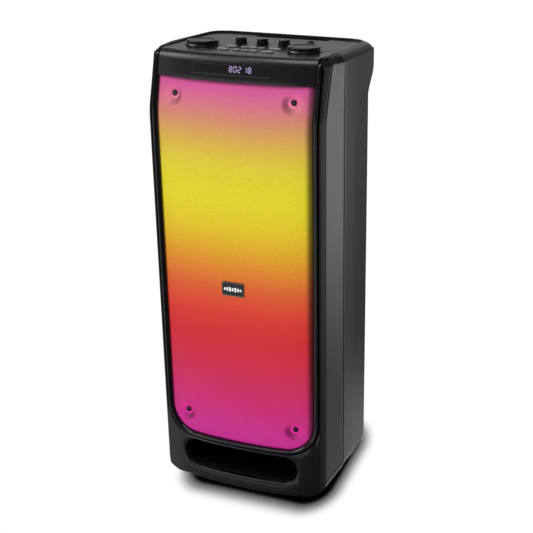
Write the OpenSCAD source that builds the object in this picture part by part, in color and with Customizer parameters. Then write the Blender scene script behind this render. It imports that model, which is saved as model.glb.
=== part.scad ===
// Tower party speaker: light-up perforated front, curved control deck with two
// jog dials, three small knobs and ten push buttons, low slot port, rear sockets.
// Origin: centre of the footprint on the floor, +Z up, the front faces -Y.

/* [Cabinet] */
// Forward bow of the front face from edge to centre
bow = 20; // [16:1:24]
// Wall thickness of the moulded shells
wall = 3; // [2.6:0.1:3.2]
// Height of the rubber feet
foot_h = 8; // [7:1:9]

/* [Controls] */
// Jog dial radius
dial_r = 28.5; // [26:0.5:30]
// Jog dial height above the deck
dial_h = 10.2; // [9:0.1:11]
// Small knob radius
knob_r = 10; // [9:0.5:11]
// Small knob height above the deck
knob_h = 12.4; // [9:0.1:14]
// Height of the push buttons above the deck
button_h = 2.5; // [2:0.1:3]
// Radial running clearance of the knob stems
run_c = 0.06; // [0.03:0.01:0.09]

/* [Sound] */
// Woofer flange radius
woof_r = 104; // [102:1:105]
// Half width of the port slot
port_hw = 108.5; // [104:0.5:110]
// Half height of the port slot
port_hh = 27; // [24:1:28]

/* [Hidden] */
$fn = 64;
part_y = -45.5;      // plane where the two shells meet
yc = -15.5;          // centre used for the insets
slope = 0.10;        // the top falls to the rear
tilt = atan(slope);
deck = 797;          // deck level at y = -130
rim = 801;           // rim level at y = -130
zk = 697;            // the front leans back above this height
port_z = 58;
woof_z = [245, 462];
tw_z = 640;
baf_y = -124;        // front face of the baffle board
btn_x = [-39, -15, 0, 15, 39];
btn_y = [-71, -37];
jack_x = 61;
jack_y = 75;
grip_x = 11.5;       // the grip recess sits a little right of centre

function sm(t) = let (u = max(0, min(1, t))) u * u * (3 - 2 * u);
function eb(x) = bow * (0.6 * pow(x / 142, 2) + 0.4 * pow(x / 142, 4));
half = concat(
  [for (x = [0, 26, 52, 78, 100, 120, 134, 142]) [x, -155 + eb(x)]],
  [[146.5, -133.4], [150, -129], [153, -124], [155.2, -119], [159, -82],
   [162.5, part_y], [162, 0], [161, 45]],
  [for (a = [8, 30, 50, 70, 88]) [122.6 + 37 * cos(a), 85.5 + 37 * sin(a)]],
  [[60, 123.4], [0, 124]]);
nh = len(half);
full = concat(half, [for (i = [nh - 2 : -1 : 1]) [-half[i][0], half[i][1]]]);
n = len(full);
function wf(y) = max(0, min(1, (part_y - y) / 60));
function wr(y) = max(0, min(1, (y - 20) / 70));
function topz(lvl, y) = lvl - slope * (y + 130);
function pt(i, z, o) = let (
  y0 = full[i][1],
  y1 = yc + (y0 - yc) * (1 - o / 140) + 0.27 * max(0, z - zk) * wf(y0) + 31 * sm((z - 700) / 60) * wr(y0),
  b = sm((z - 600) / 170))
  [full[i][0] * (1 - o / 162.5), y1, z - slope * (y1 + 130) * b];

// closed body through levels [height, inset]
module loft(lv) {
  m = len(lv);
  pts = [for (k = [0 : m - 1]) for (i = [0 : n - 1]) pt(i, lv[k][0], lv[k][1])];
  sides = [for (k = [0 : m - 2]) for (i = [0 : n - 1]) let (a = k * n + i, b = k * n + (i + 1) % n, c = a + n, d = b + n)
    each [[a, c, d], [a, d, b]]];
  polyhedron(points = pts, faces = concat(sides, [[for (i = [0 : n - 1]) i]], [[for (i = [n - 1 : -1 : 0]) (m - 1) * n + i]]), convexity = 6);
}
module outer() loft([[foot_h, 5], [foot_h + 2.5, 2], [foot_h + 7, 0], [600, 0], [650, 0], [697, 0], [730, 0], [755, 0], [770, 0], [786, 0], [792, 4.5], [797, 9.5], [800, 13.5], [rim, 16]]);
module inner() loft([[foot_h + wall, 5 + wall], [foot_h + 8, wall], [600, wall], [650, wall], [697, wall], [730, wall], [755, wall], [770, wall], [784, wall], [789, wall + 4]]);
module deck_skin(o, top) loft([[740, o], [755, o], [770, o], [784, o], [top - 6, o + 2], [top - 2.2, o + 5.5], [top, o + 9]]);
// vertical prism of the plan inset by o, used over the deck
module deck_prism(o) translate([0, 0, 750]) linear_extrude(110) polygon([for (i = [0 : n - 1]) let (p = pt(i, 797, o)) [p[0], p[1]]]);
// front elevation profile: straight top, round lower corners
module face2d(hw, zb, r, zt) union() {
  translate([-hw, zb + r]) square([2 * hw, zt - zb - r]);
  translate([-hw + r, zb]) square([2 * (hw - r), r + 1]);
  for (s = [-1, 1]) translate([s * (hw - r), zb + r]) circle(r, $fn = 96);
}
module face_prism(hw, zb, r, zt = 900, y1 = -60) translate([0, y1, 0]) rotate([90, 0, 0]) linear_extrude(y1 + 220) face2d(hw, zb, r, zt);
module obround2d(hw, hh) union() {
  square([2 * (hw - hh), 2 * hh], center = true);
  for (s = [-1, 1]) translate([s * (hw - hh), 0]) circle(hh, $fn = 96);
}
module obround(hw, hh, y0, y1, z = port_z) translate([0, y1, z]) rotate([90, 0, 0]) linear_extrude(y1 - y0) obround2d(hw, hh);
module on_deck(x, y, lvl = deck) translate([x, y, topz(lvl, y)]) rotate([-tilt, 0, 0]) children();
module along_y(y) translate([0, y, 0]) rotate([90, 0, 0]) children();
module oval(w, d, h) linear_extrude(h) union() { square([w - d, d], center = true); for (s = [-1, 1]) translate([s * (w - d) / 2, 0]) circle(d / 2); }

// everything outside a round lower corner of radius r; a turns it along the side facet
module low_corner(s, a, r) mirror([s < 0 ? 1 : 0, 0, 0]) translate([134.3, part_y, 35.7]) rotate([0, 0, -a]) rotate([90, 0, 0])
  translate([0, 0, -220]) linear_extrude(440) difference() { translate([0, -50]) square([70, 50]); circle(r, $fn = 96); }
module low_corners(a, r) for (s = [-1, 1]) low_corner(s, a, r);
module front_shell() color("#2c2c2e") difference() {
  intersection() { outer(); translate([-200, -200, 0]) cube([400, 200 + part_y, 900]); }
  difference() { inner(); low_corners(5.67, 28 - wall); }
  low_corners(5.67, 28);
  face_prism(146, 92, 56, 900, part_y + 1);
  obround(port_hw + 3.2, port_hh + 3.2, -200, -100);
  deck_prism(17);
}
module rear_shell() color("#29292b") difference() {
  intersection() { outer(); translate([-200, part_y, 0]) cube([400, 260, 900]); }
  difference() { inner(); low_corners(0, 28 - wall); }
  low_corners(0, 28);
  deck_prism(17);
  translate([-80, 100, 112]) cube([160, 60, 190]);
}
module trim_ring() color("#0b0b0c") difference() {
  intersection() { outer(); face_prism(145.8, 92.2, 55.8, 900, part_y); }
  loft([[60, 8], [600, 8], [650, 8], [697, 8], [730, 8], [755, 8], [770, 8], [780, 8], [789, 12], [793, 17]]);
  intersection() { face_prism(137, 97.5, 50, 900, -94); translate([-200, -220, 0]) cube([400, 126, 900]); }
  deck_prism(17);
}
// perforated sheet, following the bowed and leaning front
gx = [-136.4, -130, -120, -105, -88, -70, -50, -25, 0, 25, 50, 70, 88, 105, 120, 130, 136.4];
gz = [98, 400, 697, 728, 754.5];
function gpt(x, z, o) = [x, -155 + eb(x) + 6 + 2.6 * pow(max(0, (abs(x) - 126) / 10), 2) + 0.27 * max(0, z - zk) + o, z];
module grille_sheet() {
  a = len(gx); m = len(gz); t = a * m;
  pts = concat([for (z = gz) for (x = gx) gpt(x, z, 0)], [for (z = gz) for (x = gx) gpt(x, z, 1.6)]);
  f = [for (k = [0 : m - 2]) for (i = [0 : a - 2]) let (p = k * a + i) each [[p, p + a, p + a + 1], [p, p + a + 1, p + 1]]];
  b = [for (k = [0 : m - 2]) for (i = [0 : a - 2]) let (p = t + k * a + i) each [[p, p + a + 1, p + a], [p, p + 1, p + a + 1]]];
  s = concat(
    [for (i = [0 : a - 2]) each [[i, i + 1, t + i + 1], [i, t + i + 1, t + i]]],
    [for (i = [0 : a - 2]) let (p = (m - 1) * a + i) each [[p, t + p + 1, p + 1], [p, t + p, t + p + 1]]],
    [for (k = [0 : m - 2]) let (p = k * a) each [[p, t + p, t + p + a], [p, t + p + a, p + a]]],
    [for (k = [0 : m - 2]) let (p = k * a + a - 1) each [[p, p + a, t + p + a], [p, t + p + a, t + p]]]);
  polyhedron(points = pts, faces = concat(f, b, s), convexity = 4);
}
gscrew = [[-103, 138], [103, 138], [-103.5, 727], [103.5, 727]];
function gface(p) = gpt(p[0], p[1], 0)[1];
module dimple_at(p) translate([p[0], gface(p), p[1]]) rotate([90, 0, 0]) children();
module front_grille() color("#c9a23a") union() {
  difference() {
    intersection() { grille_sheet(); face_prism(136.4, 98.1, 49.4, 754.4, -80); }
    for (p = gscrew) dimple_at(p) translate([0, 0, -20]) cylinder(r = 15, h = 40);
  }
  for (p = gscrew) dimple_at(p) rotate_extrude() polygon([[2.3, -10], [6, -10], [15.02, -3.4], [15.02, 2], [13.2, 2], [13.2, -2.7], [5.4, -8.4], [2.3, -8.4]]);
}
module grille_screws() color("#17171a") for (p = gscrew) dimple_at(p) translate([0, 0, -8.35]) difference() {
  union() { cylinder(r = 4, h = 2.6); translate([0, 0, -12]) cylinder(r = 2, h = 12.5); }
  translate([0, 0, 1]) cylinder(r = 1.7, h = 4, $fn = 6);
}
module control_panel() color("#1b1b1d") difference() {
  intersection() {
    deck_skin(3, deck);
    union() {
      intersection() { face_prism(136.6, 755, 1, 900, -94); translate([-200, -220, 755]) cube([400, 126, 100]); }
      deck_prism(17.4);
    }
  }
  loft([[720, 7], [755, 7], [770, 7], [784, 7], [788, 9.5], [793, 16]]);
  for (s = [-1, 1]) on_deck(s * 90, -40) translate([0, 0, -8]) cylinder(r = 3.5 + run_c, h = 20);
  for (x = [-39, 0, 39]) on_deck(x, 5) translate([0, 0, -8]) cylinder(r = 3 + run_c, h = 20);
  for (y = btn_y) for (x = btn_x) on_deck(x, y) translate([0, 0, -8]) oval(bw(x) + 0.4, bd(x) + 0.4, 20);
  on_deck(jack_x, jack_y) translate([0, 0, -8]) cylinder(r = 4.6, h = 20);
  on_deck(0, 40) translate([-82, -0.8, -1]) cube([164, 1.6, 4]);
  translate([grip_x - 68, 110, 700]) cube([136, 40, 120]);
  translate([-70, -170, 766]) cube([140, 60, 24]);
  translate([-200, 60, 700]) cube([400, 100, 60]);
}
function bw(x) = abs(x) > 20 ? 20.5 : 13;
function bd(x) = abs(x) > 20 ? 12.5 : 10;
module display_window() color("#0a0a0c") intersection() {
  difference() { deck_skin(3, deck); loft([[720, 5.4], [755, 5.4], [770, 5.4], [784, 5.4], [788, 7.9], [793, 14.4]]); }
  translate([-69.8, -170, 766.2]) cube([139.6, 60, 23.6]);
}
module jog(s) on_deck(s * 90, -40) {
  translate([0, 0, 0.4]) rotate_extrude() polygon([[0, 0], [dial_r - 1.6, 0], [dial_r, 1.2], [dial_r - 1.4, dial_h * 0.45], [dial_r - 0.6, dial_h - 2.4], [dial_r - 2, dial_h - 0.9], [dial_r - 4.5, dial_h - 0.4], [dial_r - 6, dial_h - 1.2], [6, dial_h - 1.6], [0, dial_h - 1.6]]);
  translate([0, 0, -13]) cylinder(r = 3.5, h = 14);
}
module jog_left() color("#151517") jog(-1);
module jog_right() color("#151517") jog(1);
module knob(x) on_deck(x, 5) {
  translate([0, 0, 0.4]) rotate_extrude() polygon([[0, 0], [knob_r, 0], [knob_r - 0.3, knob_h - 1.4], [knob_r - 1.5, knob_h - 0.4], [0, knob_h - 0.4]]);
  translate([-0.6, 2, knob_h - 0.2]) cube([1.2, knob_r - 3.4, 0.5]);
  translate([0, 0, -13]) cylinder(r = 3, h = 14);
}
module knob_left() color("#101012") knob(-39);
module knob_centre() color("#101012") knob(0);
module knob_right() color("#101012") knob(39);
module button(c, r) on_deck(btn_x[c], btn_y[r]) {
  translate([0, 0, -5]) oval(bw(btn_x[c]), bd(btn_x[c]), 5 + button_h - 0.5);
  translate([0, 0, button_h - 0.6]) oval(bw(btn_x[c]) - 1.2, bd(btn_x[c]) - 1.2, 0.6);
  translate([0, 0, -6.2]) oval(bw(btn_x[c]) + 1.3, bd(btn_x[c]) + 1.3, 1.6);
}
module top_jack() color("#101012") on_deck(jack_x, jack_y) difference() {
  union() { translate([0, 0, 0.02]) cylinder(r = 5.4, h = 3.2); translate([0, 0, -26]) cylinder(r = 4.5, h = 28); }
  translate([0, 0, -22]) cylinder(r = 3.2, h = 40);
}
module handle_pocket() color("#0c0c0d") difference() {
  translate([grip_x - 70, 108, 733]) cube([140, 28.4, 33.2]);
  translate([grip_x - 68, 110, 735.4]) cube([136, 24.6, 60]);
  translate([-90, 80, topz(793 - 0.5, 80)]) rotate([-tilt, 0, 0]) cube([180, 90, 60]);
}
module badge() color("#3a3a3e") union() {
  translate([-20, -151.4, 388]) cube([40, 2.3, 25]);
  translate([-18.6, -152.2, 389.4]) cube([37.2, 1, 22.2]);
}
module badge_mark() color("#e6e6ea") for (i = [0 : 6]) let (h = [4, 6, 8, 5.5, 8, 6, 4][i]) translate([-16 + i * 4.8, -152.95, 400.5 - h / 2]) cube([3.2, 0.75, h]);
module port_duct() color("#0e0e0f") difference() {
  union() { intersection() { obround(port_hw + 3, port_hh + 3, -170, -90); outer(); } obround(port_hw + 3, port_hh + 3, -120, 60); }
  obround(port_hw, port_hh, -200, 61);
}
module baffle_board() color("#8a7355") difference() {
  translate([-132, baf_y, 93]) cube([264, 12, 607]);
  for (z = woof_z) translate([0, 0, z]) along_y(0) cylinder(r = 93, h = 400, center = true);
  translate([0, 0, tw_z]) along_y(0) cylinder(r = 42, h = 400, center = true);
  for (p = gscrew) if (p[1] < 600) translate([p[0], 0, p[1]]) along_y(0) cylinder(r = 2.05, h = 300);
}
module at_woofer(i) translate([0, baf_y, woof_z[i]]) rotate([90, 0, 0]) children();
module woofer_frame(i) color("#202022") at_woofer(i) difference() {
  rotate_extrude($fn = 96) polygon([[90, 4], [woof_r, 4], [woof_r, 0], [92, 0], [92, -14], [50, -64], [50, -67], [22, -67], [22, -65], [47.8, -65], [90, -13.5]]);
  for (a = [0 : 60 : 300]) rotate([0, 0, a]) translate([62, -12, -56]) cube([24, 24, 36]);
  for (a = [45 : 90 : 315]) rotate([0, 0, a]) translate([98, 0, -1]) cylinder(r = 2.6, h = 6);
}
module woofer_magnets() color("#5a5c60") for (i = [0, 1]) at_woofer(i) translate([0, 0, -100]) difference() {
  union() { cylinder(r = 58, h = 26); translate([0, 0, 26]) cylinder(r = 48, h = 7); }
  translate([0, 0, 8]) difference() { cylinder(r = 22.5, h = 40); cylinder(r = 18.6, h = 60); }
}
module woofer_cone(i) at_woofer(i) rotate_extrude($fn = 96) polygon([[0, -26], [12, -26.8], [22, -29.5], [24.5, -31], [77, 1.2], [78, 1.2], [78, 0], [25, -32.6], [21, -34], [21, -80], [20, -80], [20, -30.3], [12, -28], [0, -27.2]]);
module woofer_surround(i) at_woofer(i) rotate_extrude($fn = 96) difference() {
  translate([84, 0.2]) circle(5.9, $fn = 48);
  translate([84, 0.2]) circle(4.9, $fn = 48);
  translate([70, -10]) square([30, 10.2]);
}
module woofer_screws() color("#9a9ca0") for (i = [0, 1]) at_woofer(i) for (a = [45 : 90 : 315]) rotate([0, 0, a]) translate([98, 0, 4]) difference() {
  cylinder(r = 4, h = 2.2);
  translate([0, 0, 0.8]) cylinder(r = 1.5, h = 3, $fn = 6);
}
module tweeter_horn() color("#18181a") translate([0, baf_y, tw_z]) rotate([90, 0, 0]) difference() {
  rotate_extrude() polygon([[13.2, -8], [40, -8], [40, 0], [52, 0], [52, 3], [44, 3], [30, -3], [13.2, -6.4]]);
  for (a = [45 : 90 : 315]) rotate([0, 0, a]) translate([47.5, 0, -1]) cylinder(r = 1.8, h = 6);
}
module tweeter_driver() color("#4c4e52") translate([0, baf_y, tw_z]) rotate([90, 0, 0]) union() {
  translate([0, 0, -30]) cylinder(r = 34, h = 22);
  rotate_extrude() polygon([[0, -8], [12.8, -8], [12.2, -6], [9, -3.6], [4.5, -2.3], [0, -2]]);
}
module light_panel() color("#f2f2ee") difference() {
  translate([-114, -133, 104]) cube([228, 2, 586]);
  for (z = woof_z) translate([0, 0, z]) along_y(0) cylinder(r = 98, h = 400, center = true);
  translate([0, 0, tw_z]) along_y(0) cylinder(r = 54, h = 400, center = true);
  for (p = gscrew) if (p[1] < 600) translate([p[0], 0, p[1]]) along_y(0) cylinder(r = 12, h = 300);
}
module led_strips() color("#e9e4c8") for (s = [-1, 1]) union() {
  translate([s * 121 - 5, -125.4, 115]) cube([10, 1.4, 575]);
  for (z = [130 : 27 : 680]) translate([s * 121 - 2, -127, z]) cube([4, 1.7, 4]);
}
module io_panel() color("#232326") difference() {
  translate([-85, 116.5, 107]) cube([170, 3.5, 200]);
  translate([0, 0, 262]) along_y(0) cylinder(r = 6.05, h = 400, center = true);
  translate([40, 0, 262]) along_y(0) cylinder(r = 4.05, h = 400, center = true);
  translate([-48, 110, 255]) cube([15.1, 20, 7.1]);
  translate([-16, 110, 128]) cube([32, 20, 22]);
  for (s = [-1, 1]) for (z = [118, 207, 296]) translate([s * 74, 0, z]) along_y(0) cylinder(r = 1.6, h = 400, center = true);
}
module io_screws() color("#8f9196") for (s = [-1, 1]) for (z = [118, 207, 296]) translate([s * 74, 120, z]) rotate([-90, 0, 0]) difference() {
  union() { cylinder(r = 3.2, h = 2); translate([0, 0, -3.5]) cylinder(r = 1.5, h = 4); }
  translate([0, 0, 1]) cylinder(r = 1.2, h = 3, $fn = 6);
}
module mic_jack() color("#141416") translate([0, 120, 262]) rotate([-90, 0, 0]) difference() {
  union() { cylinder(r = 8.5, h = 1.8); translate([0, 0, -24]) cylinder(r = 6, h = 25); }
  translate([0, 0, -20]) cylinder(r = 3.2, h = 40);
}
module aux_jack() color("#141416") translate([40, 120, 262]) rotate([-90, 0, 0]) difference() {
  union() { cylinder(r = 6, h = 1.4); translate([0, 0, -18]) cylinder(r = 4, h = 19); }
  translate([0, 0, -15]) cylinder(r = 1.8, h = 40);
}
module usb_port() color("#b9bcc2") translate([-48, 102.5, 255]) difference() {
  translate([0.05, 0, 0.05]) cube([15, 18.2, 7]);
  translate([1.05, 1, 1.05]) cube([13, 30, 5]);
}
module ac_inlet() color("#121214") translate([0, 0, 139]) difference() {
  union() { translate([-15.9, 93.5, -10.9]) cube([31.8, 27, 21.8]); translate([-20, 120, -15]) cube([40, 1.6, 30]); }
  translate([-9, 98.5, -5.5]) cube([18, 30, 11]);
}
module ac_pins() color("#c8a24a") for (s = [-1, 1]) translate([s * 4.3, 98.5, 139]) rotate([-90, 0, 0]) cylinder(r = 1.2, h = 14);
module amp_board() color("#1f5a3a") union() {
  translate([-75, 78, 320]) cube([150, 1.6, 150]);
  for (p = [[-50, 350], [-20, 350], [-50, 400]]) translate([p[0], 78.5, p[1]]) rotate([90, 0, 0]) cylinder(r = 9, h = 25);
  translate([10, 66, 340]) cube([40, 12.5, 26]);
  translate([-10, 70, 420]) cube([24, 8.5, 24]);
}
module amp_heatsink() color("#a9adb3") translate([-40, 79.7, 380]) union() {
  cube([80, 5, 70]);
  for (i = [0 : 9]) translate([i * 8.6, 4.9, 0]) cube([2.4, 22, 70]);
}
module board_posts() color("#b8a05a") for (x = [-68, 68]) for (z = [328, 462]) translate([x, 79.6, z]) rotate([-90, 0, 0]) cylinder(r = 3.2, h = 30);
module power_supply() color("#9a9da2") difference() {
  translate([-70, 66, 110]) cube([50, 20, 120]);
  for (i = [0 : 5]) translate([-60, 60, 125 + i * 16]) cube([30, 40, 6]);
}
module control_board() color("#1f5a3a") difference() {
  on_deck(0, -16) translate([-112, -68, -11.6]) cube([224, 116, 1.6]);
  for (s = [-1, 1]) on_deck(s * 90, -40) translate([0, 0, -30]) cylinder(r = 4, h = 40);
  for (x = [-39, 0, 39]) on_deck(x, 5) translate([0, 0, -30]) cylinder(r = 3.5, h = 40);
}
module encoders() color("#7c7f85") {
  for (s = [-1, 1]) on_deck(s * 90, -40) translate([0, 0, -18]) difference() { translate([-8, -8, 0]) cube([16, 16, 6.3]); translate([0, 0, 4]) cylinder(r = 3.5 + run_c, h = 10); }
  for (x = [-39, 0, 39]) on_deck(x, 5) translate([0, 0, -18]) difference() { translate([-6, -6, 0]) cube([12, 12, 6.3]); translate([0, 0, 4]) cylinder(r = 3 + run_c, h = 10); }
}
module tact_switches() color("#303236") for (y = btn_y) for (x = btn_x) on_deck(x, y) translate([0, 0, -10]) union() { translate([-3, -3, 0]) cube([6, 6, 2.2]); cylinder(r = 1.7, h = 2.7); }
module rubber_feet() color("#161616") for (x = [-112, 112]) for (y = [-98, 78]) translate([x, y, 0]) rotate_extrude() polygon([[0, 0], [14, 0], [15, 1], [16, foot_h], [0, foot_h]]);
// runs along the axes, with a ball at each bend
module wire(p) {
  for (i = [0 : len(p) - 2]) let (d = p[i + 1] - p[i], L = norm(d)) translate(p[i])
    rotate(abs(d[0]) > 0.01 ? [0, d[0] > 0 ? 90 : -90, 0] : abs(d[1]) > 0.01 ? [d[1] > 0 ? -90 : 90, 0, 0] : [0, d[2] > 0 ? 0 : 180, 0]) cylinder(r = 1.2, h = L, $fn = 24);
  for (q = [1 : len(p) - 2]) translate(p[q]) sphere(r = 1.4, $fn = 24);
}
module speaker_leads() color("#a02020") {
  wire([[72, -60, 245], [112, -60, 245], [112, 40, 245], [112, 40, 335], [60, 40, 335], [60, 77.9, 335]]);
  wire([[72, -60, 462], [118, -60, 462], [118, 34, 462], [118, 34, 350], [66, 34, 350], [66, 77.9, 350]]);
  wire([[34.1, -100, 640], [124, -100, 640], [124, 28, 640], [124, 28, 372], [70, 28, 372], [70, 77.9, 372]]);
}

front_shell();
rear_shell();
trim_ring();
front_grille();
grille_screws();
control_panel();
display_window();
badge();
badge_mark();
jog_left();
jog_right();
knob_left();
knob_centre();
knob_right();
color("#8c8c90") button(0, 0);  // button_f1
color("#8c8c90") button(1, 0);  // button_f2
color("#8c8c90") button(2, 0);  // button_f3
color("#8c8c90") button(3, 0);  // button_f4
color("#8c8c90") button(4, 0);  // button_f5
color("#8c8c90") button(0, 1);  // button_r1
color("#8c8c90") button(1, 1);  // button_r2
color("#8c8c90") button(2, 1);  // button_r3
color("#8c8c90") button(3, 1);  // button_r4
color("#8c8c90") button(4, 1);  // button_r5
top_jack();
handle_pocket();
port_duct();
rubber_feet();
io_panel();
io_screws();
mic_jack();
aux_jack();
usb_port();
ac_inlet();
ac_pins();
baffle_board();
light_panel();
led_strips();
woofer_frame(0);  // woofer_frame_low
woofer_frame(1);  // woofer_frame_high
woofer_magnets();
color("#3c3a36") woofer_cone(0);  // woofer_cone_low
color("#3c3a36") woofer_cone(1);  // woofer_cone_high
color("#1a1a1a") woofer_surround(0);  // woofer_surround_low
color("#1a1a1a") woofer_surround(1);  // woofer_surround_high
woofer_screws();
tweeter_horn();
tweeter_driver();
amp_board();
amp_heatsink();
board_posts();
power_supply();
control_board();
encoders();
tact_switches();
speaker_leads();
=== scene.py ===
import math

import bmesh
import bpy
import numpy as np
from mathutils import Matrix, Vector


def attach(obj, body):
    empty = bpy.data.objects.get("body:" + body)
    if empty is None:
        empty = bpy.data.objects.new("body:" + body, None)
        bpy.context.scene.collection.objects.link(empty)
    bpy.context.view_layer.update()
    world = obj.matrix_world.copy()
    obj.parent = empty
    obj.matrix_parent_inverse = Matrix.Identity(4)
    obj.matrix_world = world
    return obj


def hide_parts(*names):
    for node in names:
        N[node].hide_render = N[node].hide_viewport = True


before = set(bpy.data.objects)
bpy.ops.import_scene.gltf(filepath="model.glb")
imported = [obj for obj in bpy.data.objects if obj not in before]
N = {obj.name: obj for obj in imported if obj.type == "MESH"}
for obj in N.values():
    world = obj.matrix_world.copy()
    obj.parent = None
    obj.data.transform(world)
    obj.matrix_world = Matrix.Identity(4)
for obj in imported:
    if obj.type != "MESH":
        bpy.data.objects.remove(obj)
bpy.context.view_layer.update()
MM = 0.001

# ------------------------------------------------------------------ design numbers, mm (as in the CAD source)
PART_Y, YC, SLOPE, DECK, RIM, ZK = -45.5, -15.5, 0.10, 797.0, 801.0, 697.0
TILT = math.atan(SLOPE)
BTN_X, BTN_Y = [-39, -15, 0, 15, 39], [-71, -37]
GSCREW = [(-103, 138), (103, 138), (-103.5, 727), (103.5, 727)]


def sm(t):
    t = np.clip(t, 0, 1)
    return t * t * (3 - 2 * t)


def eb(x):
    t = np.abs(np.asarray(x, float)) / 142
    return 20 * (0.6 * t**2 + 0.4 * t**4)


def ramp(z, w=9.0):
    t = np.asarray(z, float) - ZK
    return np.where(t > 60, t, (t + np.sqrt(t * t + w * w)) / 2 - 0.0)


def yfront(x, z, o=0.0):
    """y of the front envelope, set back by o."""
    return -155 + eb(x) + 0.27 * ramp(z) + o


def place(x0, y0, lvl, o=0.0, k=31.0):
    """A point of the outer skin: plan point, level, inset."""
    x0, y0, lvl, o = np.broadcast_arrays(*[np.asarray(v, float) for v in (x0, y0, lvl, o)])
    wf = np.clip((PART_Y - y0) / 60, 0, 1)
    wr = np.clip((y0 - 20) / 70, 0, 1)
    y1 = YC + (y0 - YC) * (1 - o / 140) + 0.27 * ramp(lvl) * wf + k * sm((lvl - 700) / 60) * wr
    b = sm((lvl - 600) / 170)
    return np.stack([x0 * (1 - o / 162.5), y1, lvl - SLOPE * (y1 + 130) * b], -1)


def catmull(pts, per):
    """Smooth curve through 2-D or 3-D points, per samples a span."""
    p = np.asarray(pts, float)
    p = np.vstack([2 * p[0] - p[1], p, 2 * p[-1] - p[-2]])
    out = []
    for i in range(1, len(p) - 2):
        n = per[i - 1] if isinstance(per, (list, tuple)) else per
        for t in np.linspace(0, 1, n, endpoint=False):
            a, b, c, d = p[i - 1], p[i], p[i + 1], p[i + 2]
            out.append(0.5 * (2 * b + (c - a) * t + (2 * a - 5 * b + 4 * c - d) * t**2 + (3 * b - a - 3 * c + d) * t**3))
    out.append(p[-2])
    return np.array(out)


# ------------------------------------------------------------------ materials
def mat(name, base, rough, bump=0.0, grain=900.0, spread=0.04, metal=0.0, coat=0.0, coat_rough=0.05, spec=0.5, tone=0.12, blotch=9.0, emit=None, emit_k=0.0):
    """Moulded or painted finish: fine grain in the bump, slow variation in tone and roughness."""
    m = bpy.data.materials.new(name)
    m.use_nodes = True
    nt = m.node_tree
    b = nt.nodes["Principled BSDF"]
    tc = nt.nodes.new("ShaderNodeTexCoord")
    slow = nt.nodes.new("ShaderNodeTexNoise")
    slow.inputs["Scale"].default_value = blotch
    slow.inputs["Detail"].default_value = 4
    nt.links.new(tc.outputs["Object"], slow.inputs["Vector"])
    fine = nt.nodes.new("ShaderNodeTexNoise")
    fine.inputs["Scale"].default_value = grain
    fine.inputs["Detail"].default_value = 2
    nt.links.new(tc.outputs["Object"], fine.inputs["Vector"])
    mix = nt.nodes.new("ShaderNodeMixRGB")
    c = list(base)[:3]
    mix.inputs[1].default_value = [v * (1 - tone) for v in c] + [1]
    mix.inputs[2].default_value = [v * (1 + tone) for v in c] + [1]
    nt.links.new(slow.outputs["Fac"], mix.inputs[0])
    nt.links.new(mix.outputs[0], b.inputs["Base Color"])
    mr = nt.nodes.new("ShaderNodeMapRange")
    mr.inputs["To Min"].default_value = max(0.02, rough - spread)
    mr.inputs["To Max"].default_value = min(1, rough + spread)
    nt.links.new(slow.outputs["Fac"], mr.inputs["Value"])
    nt.links.new(mr.outputs[0], b.inputs["Roughness"])
    b.inputs["Metallic"].default_value = metal
    b.inputs["Specular IOR Level"].default_value = spec
    b.inputs["Coat Weight"].default_value = coat
    b.inputs["Coat Roughness"].default_value = coat_rough
    if bump:
        bp = nt.nodes.new("ShaderNodeBump")
        bp.inputs["Strength"].default_value = bump
        bp.inputs["Distance"].default_value = 0.0004
        nt.links.new(fine.outputs["Fac"], bp.inputs["Height"])
        nt.links.new(bp.outputs[0], b.inputs["Normal"])
    if emit:
        b.inputs["Emission Color"].default_value = list(emit)[:3] + [1]
        b.inputs["Emission Strength"].default_value = emit_k
    return m


def lin(r, g, b):
    f = lambda v: (v / 255 / 12.92) if v / 255 <= 0.04045 else ((v / 255 + 0.055) / 1.055) ** 2.4
    return (f(r), f(g), f(b))


M_SHELL = mat("shell_plastic", (0.0060, 0.0060, 0.0063), 0.27, bump=0.05, grain=1400, spread=0.03)
M_REAR = mat("rear_plastic", (0.0055, 0.0055, 0.0058), 0.26, bump=0.05, grain=1300, spread=0.03)
M_GLOSS = mat("gloss_black", (0.004, 0.004, 0.0045), 0.16, bump=0.0, spread=0.03, spec=0.5)
M_DECK = mat("deck_plastic", (0.007, 0.007, 0.0073), 0.27, bump=0.05, grain=1500, spread=0.03)
M_WINDOW = mat("smoked_window", (0.0065, 0.0065, 0.0070), 0.27, spread=0.03)
M_DARK = mat("black_plastic", (0.007, 0.007, 0.007), 0.38, bump=0.10, grain=1200)
M_DUCT = mat("duct_plastic", (0.003, 0.003, 0.003), 0.7, bump=0.1, spec=0.1)
M_BUTTON = mat("button_plastic", (0.10, 0.10, 0.102), 0.30, bump=0.03, grain=1600)
M_RUBBER = mat("rubber", (0.014, 0.014, 0.014), 0.78, bump=0.25, grain=1100)
M_SCREW = mat("black_steel", (0.07, 0.07, 0.073), 0.26, metal=1.0, bump=0.03)
M_PLATED = mat("plated_steel", (0.55, 0.55, 0.57), 0.27, metal=1.0, bump=0.03)
M_BRASS = mat("brass", (0.72, 0.52, 0.22), 0.25, metal=1.0)
M_WOOD = mat("fibreboard", (0.30, 0.21, 0.13), 0.75, bump=0.4, grain=500, tone=0.25, blotch=60)
M_DIFF = mat("diffuser", (0.8, 0.8, 0.78), 0.5, bump=0.05)
M_LED = mat("led_tape", (0.75, 0.70, 0.50), 0.4, bump=0.05)
M_IRON = mat("magnet_iron", (0.16, 0.16, 0.17), 0.5, metal=0.8, bump=0.1)
M_PAPER = mat("cone_paper", (0.03, 0.028, 0.027), 0.85, bump=0.5, grain=420, tone=0.2)
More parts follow.
